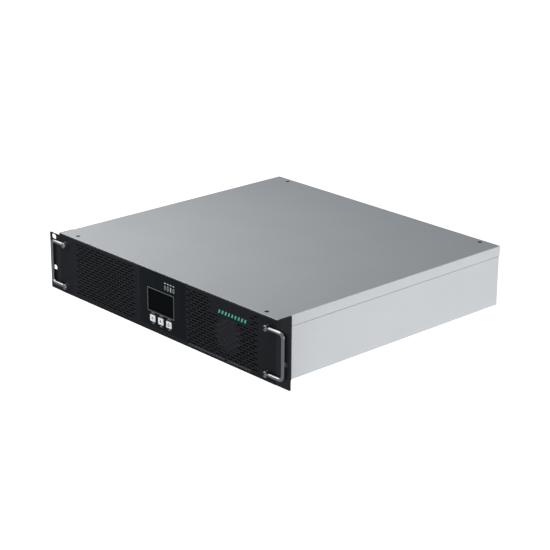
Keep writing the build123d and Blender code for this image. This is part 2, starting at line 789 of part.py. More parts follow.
def rear_panel():
    """Two sheets side by side, mains and signal, with the fittings' openings and folded flanges."""
    reach = joggle_x - sheet - fit_gap
    sheet_face = rect((-reach, reach), (sheet, inner_top))
    sheet_face -= Pos(rear_fan_x, fan_z) * Circle(fan_bore)
    sheet_face -= rect(around(inlet_x, 13.4), around(inlet_z, 9.9), 1.5)
    sheet_face -= rect(around(outlet_x, bank_half_x - 1.4), around(outlet_z, bank_half_z - 1.4), 1.0)
    sheet_face -= rect(around(slot_x, 24.0), around(slot_z, 12.0), 1.0)
    sheet_face -= rect(around(usb_x, 6.1), around(port_z, 5.6))
    sheet_face -= rect(around(serial_x, 9.6), around(port_z, 5.3))
    sheet_face -= rect(around(jack_x, 15.6), around(jack_z, 6.8))
    sheet_face -= rect(around(connector_x, 20.2), around(connector_z, 8.2))
    sheet_face -= Pos(breaker_x, breaker_z) * Circle(5.6)
    sheet_face -= Pos(earth_x, earth_z) * Circle(2.1)
    panel = slab(sheet_face, rear_inner, rear_outer)
    flange_y = (rear_inner - 15.0, rear_outer)
    panel += block((-reach, reach), flange_y, (inner_top - sheet, inner_top))
    panel += block((-reach, reach), flange_y, (sheet, 2 * sheet))
    for x, z in fan_holes(rear_fan_x):
        panel -= rod_y(x, rear_inner - 1, rear_outer + 1, z, 2.2)
    for x, z in rear_case_screws():
        panel -= rod_y(x, rear_inner - 1, rear_outer + 1, z, 1.5)
    for x, y in cover_screw_places:
        panel -= rod_z(x, y, inner_top - 3, inner_top + 1, 1.6)
    for x, y in base_screw_places:
        panel -= rod_z(x, y, 0, 4, 1.6)
    panel -= block((rear_seam_x, rear_seam_x + fit_gap), (rear_inner - 20, rear_outer + 1), (0, body_height))
    return panel.solids()


def case_screws():
    """Small pan-headed screws: front panel, handle posts, display board and rear fittings."""
    places = [(x, panel_back + sheet, z, "back", 3.0) for x, z in panel_screw_places()]
    places += [(x, panel_back + sheet, z, "back", sheet + 2.4) for x, z in handle_places()]
    places += [(x, board_front + 1.6, z, "back", 6.0) for x, z in board_screw_places]
    for x, z in rear_case_screws():
        depth = 2.0 if abs(x - slot_x) > 40 else sheet
        places.append((x, rear_outer + depth, z, "back", 5.0))
    return [facing(x, y, z, way) * pan_screw(length) for x, y, z, way, length in places]


def connector_outline(x, z, width, height, chamfer):
    """Outline of a mains connector: a rectangle with its two upper corners cut off."""
    half_w = width / 2
    half_h = height / 2
    points = [(-half_w, -half_h), (half_w, -half_h), (half_w, half_h - chamfer), (half_w - chamfer, half_h),
              (chamfer - half_w, half_h), (-half_w, half_h - chamfer)]
    return Pos(x, z) * make_face(Polyline(*points, close=True))


blade_places = [(-7.0, -2.0), (7.0, -2.0), (0.0, 2.0)]


def mains_inlet():
    """Appliance inlet with a shrouded recess, screwed to the outside of the rear panel."""
    recess_floor = rear_outer + 2.0 - 15.5
    flange = rect(around(inlet_x, 25.0), around(inlet_z, 11.5), 3.0)
    body = slab(flange, rear_outer, rear_outer + 2.0)
    body += slab(rect(around(inlet_x, 13.3), around(inlet_z, 9.8), 1.6), recess_floor - 4.0, rear_outer)
    body -= slab(connector_outline(inlet_x, inlet_z, 24.4, 16.8, 4.5), recess_floor, rear_outer + 3.0)
    for x, z in blade_places:
        body -= block(around(inlet_x + x, 1.0), (recess_floor - 6, recess_floor + 1), around(inlet_z + z, 2.0))
    for side in (-1, 1):
        body -= rod_y(inlet_x + side * 19.5, rear_outer - 1, rear_outer + 3, inlet_z, 1.5)
    return body


def inlet_pins():
    """Line, neutral and earth blades of the inlet."""
    tip = rear_outer - 1.6
    foot = rear_outer + 2.0 - 15.5 - 12.0
    return [block(around(inlet_x + x, 1.0), (foot, tip), around(inlet_z + z, 2.0)) for x, z in blade_places]


def outlet_places():
    """Middles of the outlets in the bank."""
    places = []
    for column in range(outlet_columns):
        for row in range(outlet_rows):
            x = outlet_x + (column - (outlet_columns - 1) / 2) * outlet_pitch_x
            places.append((x, outlet_z + (row - (outlet_rows - 1) / 2) * outlet_pitch_z))
    return places


def outlet_bank():
    """Block of appliance outlets: a groove round each centre, and three contact slots."""
    face_y = rear_outer + 2.0
    flange = rect(around(outlet_x, bank_half_x + 8.0), around(outlet_z, bank_half_z), 2.0)
    bank = slab(flange, rear_outer, face_y)
    bank += slab(rect(around(outlet_x, bank_half_x - 1.5), around(outlet_z, bank_half_z - 1.5), 1.2),
                 rear_inner - 20.0, rear_outer)
    for x, z in outlet_places():
        moat = connector_outline(x, z, 27.6, 20.6, 5.0) - connector_outline(x, z, 24.0, 16.4, 4.4)
        bank -= slab(moat, face_y - 14.0, face_y + 1.0)
        for dx, dz in blade_places:
            bank -= block(around(x + dx, 1.3), (face_y - 17.0, face_y + 1.0), around(z + dz, 2.3))
    for side in (-1, 1):
        bank -= rod_y(outlet_x + side * (bank_half_x + 4.0), rear_outer - 1, face_y + 1, outlet_z, 1.5)
    return bank


def breaker_body():
    """Overload breaker behind the panel, with its threaded neck and ring nut."""
    body = block(around(breaker_x, 8.0), (rear_inner - 30.0, rear_inner), around(breaker_z, 16.0))
    body += rod_y(breaker_x, rear_inner, rear_outer + 6.0, breaker_z, 5.5)
    nut = Plane(origin=(breaker_x, rear_outer, breaker_z), z_dir=(0, 1, 0)) * RegularPolygon(8.5, 6)
    body += extrude(nut, amount=2.5)
    return body - rod_y(breaker_x, rear_outer - 6.0, rear_outer + 7.0, breaker_z, 3.6 + running_gap)


def breaker_button():
    """Reset button that springs out when the breaker trips."""
    button = rod_y(breaker_x, rear_outer - 5.0, rear_outer + 9.0, breaker_z, 3.6)
    return fillet(button.edges().filter_by(GeomType.CIRCLE).sort_by(Axis.Y)[-1], 0.8)


def communication_ports():
    """Square data socket, nine-pin socket and a pair of network jacks."""
    outer = rear_outer + 1.0
    square = block(around(usb_x, 6.0), (outer - 16.0, outer), around(port_z, 5.5))
    square -= block(around(usb_x, 4.2), (outer - 9.0, outer + 1.0), around(port_z, 3.9))
    square += block(around(usb_x, 2.8), (outer - 9.1, outer - 1.0), around(port_z, 1.6))
    shell = connector_outline(serial_x, port_z, 19.0, 10.0, 2.0)
    serial = slab(shell, rear_outer - 10.0, rear_outer + 5.5)
    for step in range(9):
        row = step // 5
        x = serial_x + (step - 2 - row * 4.5) * 2.77
        serial -= rod_y(x, rear_outer - 2.0, rear_outer + 7.0, port_z + 1.4 - row * 2.84, 0.55)
    lugs = [rod_y(serial_x + i * 12.5, rear_outer, rear_outer + 5.0, port_z, 2.4) for i in (-1, 1)]
    jacks = block(around(jack_x, 15.5), (outer - 18.0, outer), around(jack_z, 6.7))
    for side in (-1, 1):
        middle = jack_x + side * 7.4
        jacks -= block(around(middle, 5.9), (outer - 13.0, outer + 1.0), (jack_z - 4.6, jack_z + 3.4))
        jacks -= block(around(middle, 2.0), (outer - 4.0, outer + 1.0), (jack_z + 3.3, jack_z + 5.4))
    return [square, serial, jacks] + lugs


def battery_connector():
    """Two-pole socket for an extension battery, with a contact blade in each pole."""
    face_y = rear_outer + 4.0
    body = block(around(connector_x, 22.5), (rear_outer, rear_outer + 1.6), around(connector_z, 10.5))
    body += block(around(connector_x, 20.0), (rear_outer - 24.0, face_y), around(connector_z, 8.0))
    for side in (-1, 1):
        room = around(connector_x + side * 9.6, 7.6)
        body -= block(room, (face_y - 20.0, face_y + 1.0), around(connector_z, 5.8))
        body += block(around(connector_x + side * 9.6, 5.0), (face_y - 20.5, face_y - 4.0),
                      (connector_z - 5.9, connector_z - 3.4))
    return body


def slot_cover():
    """Blank cover of the communication card slot."""
    plate = slab(rect(around(slot_x, 33.0), around(slot_z, 14.5), 1.5), rear_outer, rear_outer + sheet)
    plate += block(around(slot_x, 22.0), (rear_inner - 6.0, rear_outer), (slot_z - 11.5, slot_z - 10.5))
    for side in (-1, 1):
        plate -= rod_y(slot_x + side * 29.0, rear_outer - 1, rear_outer + 3, slot_z, 1.5)
    return plate


def earth_stud():
    """Threaded stud through the rear panel, with a flanged hexagon on each side."""
    stud = rod_y(earth_x, rear_inner - 10.0, rear_outer + 14.0, earth_z, 2.0)
    outer = Plane(origin=(earth_x, rear_outer, earth_z), z_dir=(0, 1, 0)) * RegularPolygon(4.0, 6)
    inner = Plane(origin=(earth_x, rear_inner - 3.2, earth_z), z_dir=(0, 1, 0)) * RegularPolygon(4.0, 6)
    return stud + extrude(outer, amount=3.2) + extrude(inner, amount=3.2)


# ---------------------------------------------------------------- write every sub-part
def main():
    """Build and write the whole unit."""
    os.makedirs("parts", exist_ok=True)
    save("chassis_tray", chassis_tray())
    save("top_cover", top_cover())
    save("countersunk_screws", *countersunk_screws())
    save("front_frame", front_frame())
    save("front_panel", front_panel())
    save("case_screws", *case_screws())
    save("rear_panel", *rear_panel())
    save("right_rack_ear", right_ear())
    save("left_rack_ear", mirrored(right_ear()))
    save("ear_screws", *ear_screws())
    save("right_handle_bail", right_bail())
    save("left_handle_bail", mirrored(right_bail()))
    save("handle_posts", *handle_posts())
    save("handle_pins", *handle_pins())
    save("display_bezel", display_bezel())
    save("display_pillars", *display_pillars())
    save("display_frame", display_frame())
    save("display_window", display_window())
    save("display_module", *display_module())
    save("display_board", *display_board())
    for name, x in zip(button_names, button_x):
        save(f"button_{name}", push_button(x))
        save(f"switch_plunger_{name}", switch_plunger(x))
    save("button_switches", *button_switches())
    save("light_pipes", *light_pipes())
    for number, corner in enumerate(battery_corners, start=1):
        save(f"battery_{number}", battery_case(corner))
    save("battery_cells", *[battery_cells(corner) for corner in battery_corners])
    save("battery_terminals", *[tab for corner in battery_corners for tab in battery_terminals(corner)])
    save("battery_links", *battery_links())
    save("battery_clamps", *battery_clamps())
    save("partition_wall", partition_wall())
    save("main_board", main_board())
    save("board_standoffs", *board_standoffs())
    save("heat_sinks", *[heat_sink(x) for x in sink_x])
    save("power_transistors", *power_transistors())
    save("bus_capacitors", *bus_capacitors())
    save("filter_chokes", *filter_chokes())
    save("power_transformer", *power_transformer())
    save("relays", *relays())
    save("control_board", *control_board())
    save("front_fan_frame", fan_frame(front_fan_x, panel_back + sheet))
    save("front_fan_rotor", fan_rotor(front_fan_x, panel_back + sheet))
    save("rear_fan_frame", fan_frame(rear_fan_x, rear_inner - fan_depth))
    save("rear_fan_rotor", fan_rotor(rear_fan_x, rear_inner - fan_depth))
    save("rear_fan_guard", rear_fan_guard())
    save("fan_screws", *fan_screws())
    save("mains_inlet", mains_inlet())
    save("inlet_pins", *inlet_pins())
    save("outlet_bank", outlet_bank())
    save("breaker_body", breaker_body())
    save("breaker_button", breaker_button())
    save("communication_ports", *communication_ports())
    save("battery_connector", battery_connector())
    save("slot_cover", slot_cover())
    save("earth_stud", earth_stud())


main()
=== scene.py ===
import json
from math import cos, pi, radians, sin, sqrt, tau

import bmesh
import bpy
from bpy.props import FloatProperty, FloatVectorProperty, IntProperty, PointerProperty
from bpy.types import NodeSocket, Operator, Panel, PropertyGroup
from mathutils import Matrix, Vector

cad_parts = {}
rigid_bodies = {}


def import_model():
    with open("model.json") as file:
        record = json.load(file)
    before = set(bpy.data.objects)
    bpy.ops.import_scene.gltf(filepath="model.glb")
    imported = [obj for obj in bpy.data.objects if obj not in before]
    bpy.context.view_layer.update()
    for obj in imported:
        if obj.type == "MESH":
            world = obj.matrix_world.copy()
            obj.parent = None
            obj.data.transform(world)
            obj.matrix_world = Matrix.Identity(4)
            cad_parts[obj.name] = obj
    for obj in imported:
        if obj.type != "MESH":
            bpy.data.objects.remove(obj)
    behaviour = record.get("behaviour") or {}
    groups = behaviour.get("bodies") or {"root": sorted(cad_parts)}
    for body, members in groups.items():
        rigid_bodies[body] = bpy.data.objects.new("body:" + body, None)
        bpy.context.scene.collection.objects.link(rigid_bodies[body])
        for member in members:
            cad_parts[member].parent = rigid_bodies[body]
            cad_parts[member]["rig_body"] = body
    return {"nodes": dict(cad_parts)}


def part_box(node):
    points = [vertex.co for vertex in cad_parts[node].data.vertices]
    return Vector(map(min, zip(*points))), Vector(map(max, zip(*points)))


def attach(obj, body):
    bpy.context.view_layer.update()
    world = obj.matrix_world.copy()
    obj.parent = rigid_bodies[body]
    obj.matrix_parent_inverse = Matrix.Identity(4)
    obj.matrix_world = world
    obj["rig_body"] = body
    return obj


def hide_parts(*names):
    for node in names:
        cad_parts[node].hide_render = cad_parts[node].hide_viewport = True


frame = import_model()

bl_info = {
    "name": "Rack Power Supply Dressing",
    "version": (1, 0, 0),
    "blender": (4, 5, 0),
    "location": "3D View > Sidebar > Power Supply",
    "description": "Finishes a packed rack uninterruptible power supply and sets its studio",
    "category": "Object",
}

MM = 0.001
WELD = 0.001 * MM  # points nearer than this are one point
HAIR = 0.01 * MM  # how far ink starts in front of what it is printed on
FLAT = radians(0.4)  # faces that meet at less are one flat face
SHARP = radians(32)  # faces that meet at more have an edge between them
DRIFT_SIZE = 70 * MM  # over this length a finish drifts slowly
FLATTEN = Vector((1, 0, 1))  # takes away the depth of a point
FRONT_TURN = Matrix.Rotation(pi / 2, 4, "X")  # lays a Z axis along Y
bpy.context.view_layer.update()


def linear(code):
    """A colour written as sRGB hex, as linear red, green, blue and alpha."""
    parts = [int(code[i:i + 2], 16) / 255 for i in (1, 3, 5)]
    return tuple(c / 12.92 if c <= 0.04045 else ((c + 0.055) / 1.055) ** 2.4 for c in parts) + (1.0,)


# ---------------------------------------------------------------- settings
def colour_setting(name, code, description):
    """A colour of one finish."""
    return FloatVectorProperty(name=name, description=description, subtype="COLOR", size=4, min=0, max=1,
                               default=linear(code))


def length_setting(name, millimetres, description):
    """A length of one detail, kept in metres."""
    return FloatProperty(name=name, description=description, subtype="DISTANCE", unit="LENGTH", min=0,
                         precision=5, default=millimetres * MM)


class UPS_Colours(PropertyGroup):
    """Colours of the finishes"""
    case: colour_setting("Case", "#D3D4D6", "Powder coat of the tray and the cover")
    ear: colour_setting("Rack ear", "#212124", "Powder coat of the rack ears")
    panel: colour_setting("Front panel", "#18181C", "Moulded front panel")
    bezel: colour_setting("Bezel", "#121619", "Moulded surround of the display")
    surround: colour_setting("Window frame", "#101315", "Frame of the display window")
    surround_highlight: colour_setting("Window line", "#74757A", "Thin line printed round the window frame")
    # The window line is a painted highlight of the frame's edge, drawn all round.
    pane: colour_setting("Window", "#040506", "Smoked pane of the display")
    key: colour_setting("Key", "#E2E3E4", "Silicone keys")
    legend: colour_setting("Key legend", "#2A2B2E", "Ink of the marks on the keys")
    boss: colour_setting("Boss", "#2C2C30", "Round plain field in front of the fan")
    # The slit rim colour is a painted highlight: rims paler than the panel, as if lit from above.
    rim: colour_setting("Slit rim", "#2F2F34", "Worn rims of the slits")
    script: colour_setting("Lower dashes", "#66666A", "Ink of the fine dashes at the foot of the panel")
    ink: colour_setting("Panel ink", "#A4A8AB", "Ink of the marks beside the indicators")
    emblem: colour_setting("Emblem", "#3FAE98", "Row of slanted dashes on the name plate area")
    socket: colour_setting("Socket", "#131314", "Nylon of the sockets and the fans")
    battery: colour_setting("Battery", "#2A2C2F", "Battery cases")
    board: colour_setting("Circuit board", "#14573A", "Solder resist of the boards")


class UPS_Sizes(PropertyGroup):
    """Sizes of the details that the frame leaves open"""
    sheet_edge: length_setting("Sheet edge", 0.35, "Radius of a punched and coated sheet edge")
    slit_edge: length_setting("Slit edge", 0.4, "Radius of the rims of the slits")
    moulded_edge: length_setting("Moulded edge", 0.22, "Radius of a moulded edge")
    fine_edge: length_setting("Fine edge", 0.12, "Radius of the smallest edges")
    rod: length_setting("Handle rod", 2.5, "Radius of the handle's bar")
    rod_bend: length_setting("Handle bend", 6.0, "Radius of the handle's corners at the rod's middle")
    wire: length_setting("Guard wire", 0.9, "Radius of the finger guard's wire")
    ink: length_setting("Ink", 0.06, "Thickness of printed ink")
    emblem_height: length_setting("Emblem height", 4.8, "Height of the dashes")
    emblem_length: length_setting("Emblem length", 54.0, "Length of the row of dashes")
    emblem_dashes: IntProperty(name="Dashes", description="Number of dashes", min=1, default=9)
    blades: IntProperty(name="Fan blades", description="Number of blades of each fan", min=3, default=7)


class UPS_Studio(PropertyGroup):
    """Camera and light"""
    azimuth: FloatProperty(name="Azimuth", description="Camera's angle to the right of the front",
                           subtype="ANGLE", unit="ROTATION", default=radians(47.13))
    elevation: FloatProperty(name="Elevation", description="Camera's angle above the horizon",
                             subtype="ANGLE", unit="ROTATION", default=radians(19.92))
    roll: FloatProperty(name="Roll", description="Camera's turn about its own line of sight",
                        subtype="ANGLE", unit="ROTATION", default=radians(0.414))
    place: FloatVectorProperty(name="Place", description="Camera's place", subtype="TRANSLATION",
                               unit="LENGTH", size=3, default=(1.578, -1.470, 0.815))
    lens: FloatProperty(name="Lens", description="Focal length in millimetres on a 36 mm sensor", min=10,
                        default=110.2)
    floor: colour_setting("Floor", "#FAFAFA", "Pale studio floor")
    floor_glow: FloatProperty(name="Floor glow", description="Light that the back-lit floor gives", min=0,
                              default=0.95)
    sky: FloatProperty(name="Sky", description="Strength of the even light all round", min=0, default=0.24)
    air: colour_setting("Air", "#E6F1F8", "Colour of the even light")


# ---------------------------------------------------------------- materials
def add_node(tree, kind, sockets=None, **settings):
    """Add a node with its settings, and give its sockets their values or links."""
    made = tree.nodes.new(kind)
    for name, value in settings.items():
        setattr(made, name, value)
    for key, value in (sockets or {}).items():
        if isinstance(value, NodeSocket):
            tree.links.new(value, made.inputs[key])
        else:
            made.inputs[key].default_value = value
    return made


def blank(name):
    """An empty node material, its tree, and its Object coordinates."""
    material = bpy.data.materials.new(name)
    material.use_nodes = True
    material.node_tree.nodes.clear()
    place = add_node(material.node_tree, "ShaderNodeTexCoord").outputs["Object"]
    return material, material.node_tree, place


def close(tree, sockets):
    """The surface shader and the output that end a material."""
    shader = add_node(tree, "ShaderNodeBsdfPrincipled", sockets)
    add_node(tree, "ShaderNodeOutputMaterial", {"Surface": shader.outputs[0]})


def inner_field(tree, place, node, border):
    """A mask that is 1 inside a node's outline, seen from the front, and 0 on a border of that width."""
    low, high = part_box(node)
    half = (high - low) / 2
    offset = {0: place, 1: tuple(low + half)}
    local = add_node(tree, "ShaderNodeVectorMath", offset, operation="SUBTRACT").outputs[0]
    axes = add_node(tree, "ShaderNodeSeparateXYZ", {0: local}).outputs
    blur = 0.1 * MM
    inside = []
    for axis, reach in (("X", half.x - border), ("Z", half.z - border)):
        far = add_node(tree, "ShaderNodeMath", {0: axes[axis]}, operation="ABSOLUTE").outputs[0]
        fade = {0: far, 1: reach - blur, 2: reach + blur, 3: 1.0, 4: 0.0}
        inside.append(add_node(tree, "ShaderNodeMapRange", fade).outputs[0])
    return add_node(tree, "ShaderNodeMath", {0: inside[0], 1: inside[1]}, operation="MULTIPLY").outputs[0]


def grained(name, colour, roughness, grain, relief, drift=0.06, spread=0.1, stretch=(1, 1, 1),
            specular=0.5, metallic=0.0):
    """A surface with a grain of that size in mm, raised by relief in mm, whose colour and gloss drift."""
    material, tree, place = blank(name)
    turned = add_node(tree, "ShaderNodeMapping", {"Vector": place, "Scale": stretch}).outputs[0]
    fine = add_node(tree, "ShaderNodeTexNoise", {"Vector": turned, "Scale": 1 / (grain * MM), "Detail": 3.0,
                                                 "Roughness": 0.55}).outputs[0]
    slow = add_node(tree, "ShaderNodeTexNoise", {"Vector": place, "Scale": 1 / DRIFT_SIZE, "Detail": 4.0,
                                                 "Roughness": 0.6}).outputs[0]
    mottle = add_node(tree, "ShaderNodeMath", {0: fine, 1: slow}, operation="ADD").outputs[0]
    shade = add_node(tree, "ShaderNodeMapRange", {0: mottle, 1: 0.7, 2: 1.3, 3: 1 - drift,
                                                  4: 1 + drift}).outputs[0]
    tinted = add_node(tree, "ShaderNodeMix", {"Factor": 1.0, "A": tuple(colour), "B": shade},
                      data_type="RGBA", blend_type="MULTIPLY").outputs["Result"]
    rough = add_node(tree, "ShaderNodeMapRange", {0: mottle, 1: 0.6, 2: 1.4, 3: roughness - spread / 2,
                                                  4: roughness + spread / 2}).outputs[0]
    bump = add_node(tree, "ShaderNodeBump", {"Height": fine, "Distance": relief * MM,
                                             "Strength": 1.0}).outputs[0]
    close(tree, {"Base Color": tinted, "Roughness": rough, "Normal": bump, "Specular IOR Level": specular,
                 "Metallic": metallic})
    return material


def case_paint(colours):
    """Powder-coated steel, baked: satin, with a soft orange peel about a millimetre across."""
    return grained("powder_coated_steel_light_grey", colours.case,
                   roughness=0.47, grain=1.3, relief=0.02, drift=0.025, specular=0.45)


def ear_paint(colours):
    """Powder-coated steel, baked: black, fine and slightly sandy."""
    return grained("powder_coated_steel_black", colours.ear,
                   roughness=0.5, grain=0.7, relief=0.03, drift=0.1, specular=0.3)


def panel_moulding(colours):
    """ABS, injection moulded in a spark-eroded tool: an even matt grain that greys the black a little."""
    return grained("spark_eroded_abs_black", colours.panel,
                   roughness=0.58, grain=0.55, relief=0.035, drift=0.12, specular=0.25)


def rim_highlight_moulding(colours):
    """ABS rims of the slits, a little paler and shinier than the grain: the paler colour is a painted
    highlight of light caught on the rims.
    """
    return grained("abs_rim_painted_highlight", colours.rim,
                   roughness=0.42, grain=0.6, relief=0.01, drift=0.15, specular=0.35)


def boss_moulding(colours):
    """ABS, moulded with a finer grain: the round field in front of the fan."""
    return grained("fine_grained_abs_boss", colours.boss,
                   roughness=0.5, grain=0.4, relief=0.02, drift=0.2, specular=0.3)


def script_ink(colours):
    """Silk-screened ink, dark grey: thin enough to let the panel's grain through."""
    return grained("silk_screened_ink_grey", colours.script,
                   roughness=0.55, grain=0.5, relief=0.02, drift=0.12)


def bezel_moulding(colours):
    """ABS, injection moulded in a polished and lightly blasted tool: smoother than the panel round it."""
    return grained("satin_moulded_abs_black", colours.bezel,
                   roughness=0.42, grain=0.4, relief=0.01, drift=0.08, specular=0.12)


def surround_moulding(colours):
    """ABS, moulded smooth and black, with a thin grey line painted round its rim: a painted highlight of the
    frame's edge.
    """
    material, tree, place = blank("abs_black_painted_edge_line")
    highlight_start, highlight_end = 1.2 * MM, 1.9 * MM
    outside = inner_field(tree, place, "display_frame", highlight_start)
    inside = inner_field(tree, place, "display_frame", highlight_end)
    # A thin band just inside the frame's outline, coloured grey as a painted highlight of its edge.
    line = add_node(tree, "ShaderNodeMath", {0: outside, 1: inside}, operation="SUBTRACT").outputs[0]
    shade = add_node(tree, "ShaderNodeMix", {"Factor": line, "A": tuple(colours.surround),
                                             "B": tuple(colours.surround_highlight)}, data_type="RGBA")
    haze = add_node(tree, "ShaderNodeTexNoise", {"Vector": place, "Scale": 1 / (0.5 * MM), "Detail": 2.0})
    rough = add_node(tree, "ShaderNodeMapRange", {0: haze.outputs[0], 3: 0.3, 4: 0.42}).outputs[0]
    close(tree, {"Base Color": shade.outputs["Result"], "Roughness": rough, "Specular IOR Level": 0.15})
    return material


def key_rubber(colours):
    """Silicone rubber, compression moulded: soft white, with a faint sheen of its coating."""
    return grained("moulded_silicone_white", colours.key,
                   roughness=0.46, grain=0.35, relief=0.01, drift=0.02)


def legend_ink(colours):
    """Pad-printed ink, dark: thin and slightly open in its edges."""
    return grained("pad_printed_ink_dark", colours.legend,
                   roughness=0.5, grain=0.25, relief=0.005)


def panel_ink(colours):
    """Silk-screened ink, pale: flat, with the mesh's faint unevenness."""
    return grained("silk_screened_ink_pale", colours.ink,
                   roughness=0.55, grain=0.25, relief=0.01, drift=0.1)


def emblem_ink(colours):
    """Hot-stamped foil, teal: an even satin colour that catches light at its edge."""
    return grained("hot_stamped_foil_teal", colours.emblem,
                   roughness=0.38, grain=0.3, relief=0.008, drift=0.08)


def chrome_plate(_colours):
    """Steel rod, bright chrome plated: a mirror with fine polishing lines."""
    return grained("chrome_plated_steel", linear("#D2D3D6"),
                   roughness=0.24, grain=0.8, relief=0.001, drift=0.04, spread=0.08,
                   stretch=(0.2, 1, 1), metallic=1.0)


def zinc_plate(_colours):
    """Steel, zinc plated and passivated: pale grey metal with a cloudy, slightly blue gloss."""
    return grained("zinc_plated_steel", linear("#B4B7BC"),
                   roughness=0.34, grain=1.0, relief=0.004, drift=0.12, spread=0.2, metallic=1.0)


def black_oxide(_colours):
    """Steel screws, chemically blacked: dark grey metal, oily in its gloss."""
    return grained("black_oxide_steel", linear("#3A3B3E"),
                   roughness=0.38, grain=0.6, relief=0.004, drift=0.15, spread=0.2, metallic=0.9)


def galvanised_sheet(_colours):
    """Steel sheet, hot-dip galvanised and skin passed: dull metal with small spangles."""
    material, tree, place = blank("galvanised_steel_sheet")
    spangle = 5 * MM
    cells = add_node(tree, "ShaderNodeTexVoronoi", {"Vector": place, "Scale": 1 / spangle})
    grey = add_node(tree, "ShaderNodeSeparateColor", {0: cells.outputs["Color"]}).outputs[0]
    shade = add_node(tree, "ShaderNodeMix", {"Factor": grey, "A": linear("#9A9DA0"), "B": linear("#B2B5B8")},
                     data_type="RGBA").outputs["Result"]
    rough = add_node(tree, "ShaderNodeMapRange", {0: grey, 3: 0.38, 4: 0.55}).outputs[0]
    close(tree, {"Base Color": shade, "Roughness": rough, "Metallic": 1.0})
    return material


def smoked_pane(colours):
    """Polycarbonate pane, hard coated and smoked: near black, with the display's field just showing."""
    material, tree, place = blank("smoked_polycarbonate_pane")
    border, ripple = 3 * MM, 9 * MM
    field = inner_field(tree, place, "display_window", border)
    shade = add_node(tree, "ShaderNodeMix", {"Factor": field, "A": tuple(colours.pane),
                                             "B": linear("#070A0A")}, data_type="RGBA").outputs["Result"]
    haze = add_node(tree, "ShaderNodeTexNoise", {"Vector": place, "Scale": 1 / ripple, "Detail": 3.0})
    rough = add_node(tree, "ShaderNodeMapRange", {0: haze.outputs[0], 3: 0.06, 4: 0.16}).outputs[0]
    close(tree, {"Base Color": shade, "Roughness": rough, "Specular IOR Level": 0.05})
    return material


def clear_pipe(_colours):
    """Polycarbonate light pipe, moulded clear over pale emitters: a bright grey end."""
    return grained("clear_polycarbonate_pipe", linear("#AEB4B8"),
                   roughness=0.2, grain=0.6, relief=0.003, drift=0.08)


def socket_nylon(colours):
    """Nylon with glass fibre, moulded: black and dry, with faint flow marks."""
    return grained("glass_filled_nylon_black", colours.socket,
                   roughness=0.55, grain=0.9, relief=0.02, drift=0.2, spread=0.16)


def fan_moulding(colours):
    """PBT, injection moulded: black, a little glossier than nylon."""
    return grained("moulded_pbt_black", colours.socket,
                   roughness=0.42, grain=1.2, relief=0.015, drift=0.15)


def reset_moulding(_colours):
    """ABS, moulded smooth: the red push of the breaker."""
    return grained("moulded_abs_red", linear("#A5201C"),
                   roughness=0.36, grain=0.6, relief=0.008)


def socket_shell(_colours):
    """Steel shell, deep drawn and nickel plated: warm silver with a soft gloss."""
    return grained("nickel_plated_steel", linear("#BDB8AE"),
                   roughness=0.28, grain=0.8, relief=0.003, drift=0.1, metallic=1.0)


def battery_moulding(colours):
    """ABS battery case, moulded: dark grey, with a broad soft grain."""
    return grained("moulded_abs_dark_grey", colours.battery,
                   roughness=0.5, grain=1.4, relief=0.03, drift=0.1)


def lead_plate(_colours):
    """Lead grid, cast and pasted: dull blue grey."""
    return grained("cast_lead", linear("#5B5F66"),
                   roughness=0.6, grain=1.0, relief=0.05, drift=0.2, metallic=0.6)


def tinned_brass(_colours):
    """Brass tab, stamped and tinned: soft silver."""
    return grained("tinned_brass", linear("#B9B4A6"),
                   roughness=0.34, grain=0.8, relief=0.004, drift=0.12, metallic=1.0)


def cable_sheath(_colours):
    """PVC lead, extruded: red, smooth along its length."""
    return grained("extruded_pvc_red", linear("#8E1F1A"),
                   roughness=0.42, grain=1.5, relief=0.01)


def extruded_aluminium(_colours):
    """Aluminium section, extruded and left bright: die lines along its length."""
    return grained("extruded_aluminium", linear("#B9BBBD"),
                   roughness=0.36, grain=0.5, relief=0.01, drift=0.1, spread=0.15,
                   stretch=(1, 0.04, 1), metallic=1.0)


def package_epoxy(_colours):
    """Epoxy package, transfer moulded: charcoal with a dusty grain."""
    return grained("moulded_epoxy_charcoal", linear("#1D1E20"),
                   roughness=0.55, grain=0.4, relief=0.02, drift=0.15)


def capacitor_sleeve(_colours):
    """PVC sleeve, heat shrunk on a capacitor: deep blue and glossy."""
    return grained("heat_shrunk_pvc_blue", linear("#1B2C4C"),
                   roughness=0.3, grain=2.0, relief=0.02)


def choke_coat(_colours):
    """Ferrite ring, epoxy coated: green, pooled smooth."""
    return grained("epoxy_coated_ferrite", linear("#2F5A3C"),
                   roughness=0.35, grain=1.6, relief=0.03, drift=0.12)


def winding_wire(_colours):
    """Copper wire, enamelled: deep orange brown with a wet gloss."""
    return grained("enamelled_copper", linear("#A1562A"),
                   roughness=0.3, grain=0.8, relief=0.01, drift=0.15, metallic=0.8)


def board_resist(colours):
    """Glass epoxy board, solder resist over etched copper: green, with raised lighter tracks."""
    material, tree, place = blank("solder_resist_green")
    black, grey, white = (0, 0, 0, 1), (0.2, 0.2, 0.2, 1), (1, 1, 1, 1)
    sockets = {"Vector": place, "Scale": 1 / (12 * MM), "Color1": black, "Color2": grey, "Mortar": white,
               "Mortar Size": 0.045, "Brick Width": 0.9, "Row Height": 0.33}
    tracks = add_node(tree, "ShaderNodeTexBrick", sockets).outputs["Color"]
    shade = add_node(tree, "ShaderNodeMix", {"Factor": tracks, "A": tuple(colours.board),
                                             "B": linear("#2F7D54")}, data_type="RGBA").outputs["Result"]
    bump = add_node(tree, "ShaderNodeBump", {"Height": tracks, "Distance": 0.04 * MM,
                                             "Strength": 1.0}).outputs[0]
    close(tree, {"Base Color": shade, "Roughness": 0.3, "Normal": bump})
    return material


made_materials = {}  # each finish's material, by the function that makes it


def use(build):
    """The material that build makes, made the first time that it is asked for."""
    if build not in made_materials:
        made_materials[build] = build(bpy.context.scene.ups_colours)
    return made_materials[build]


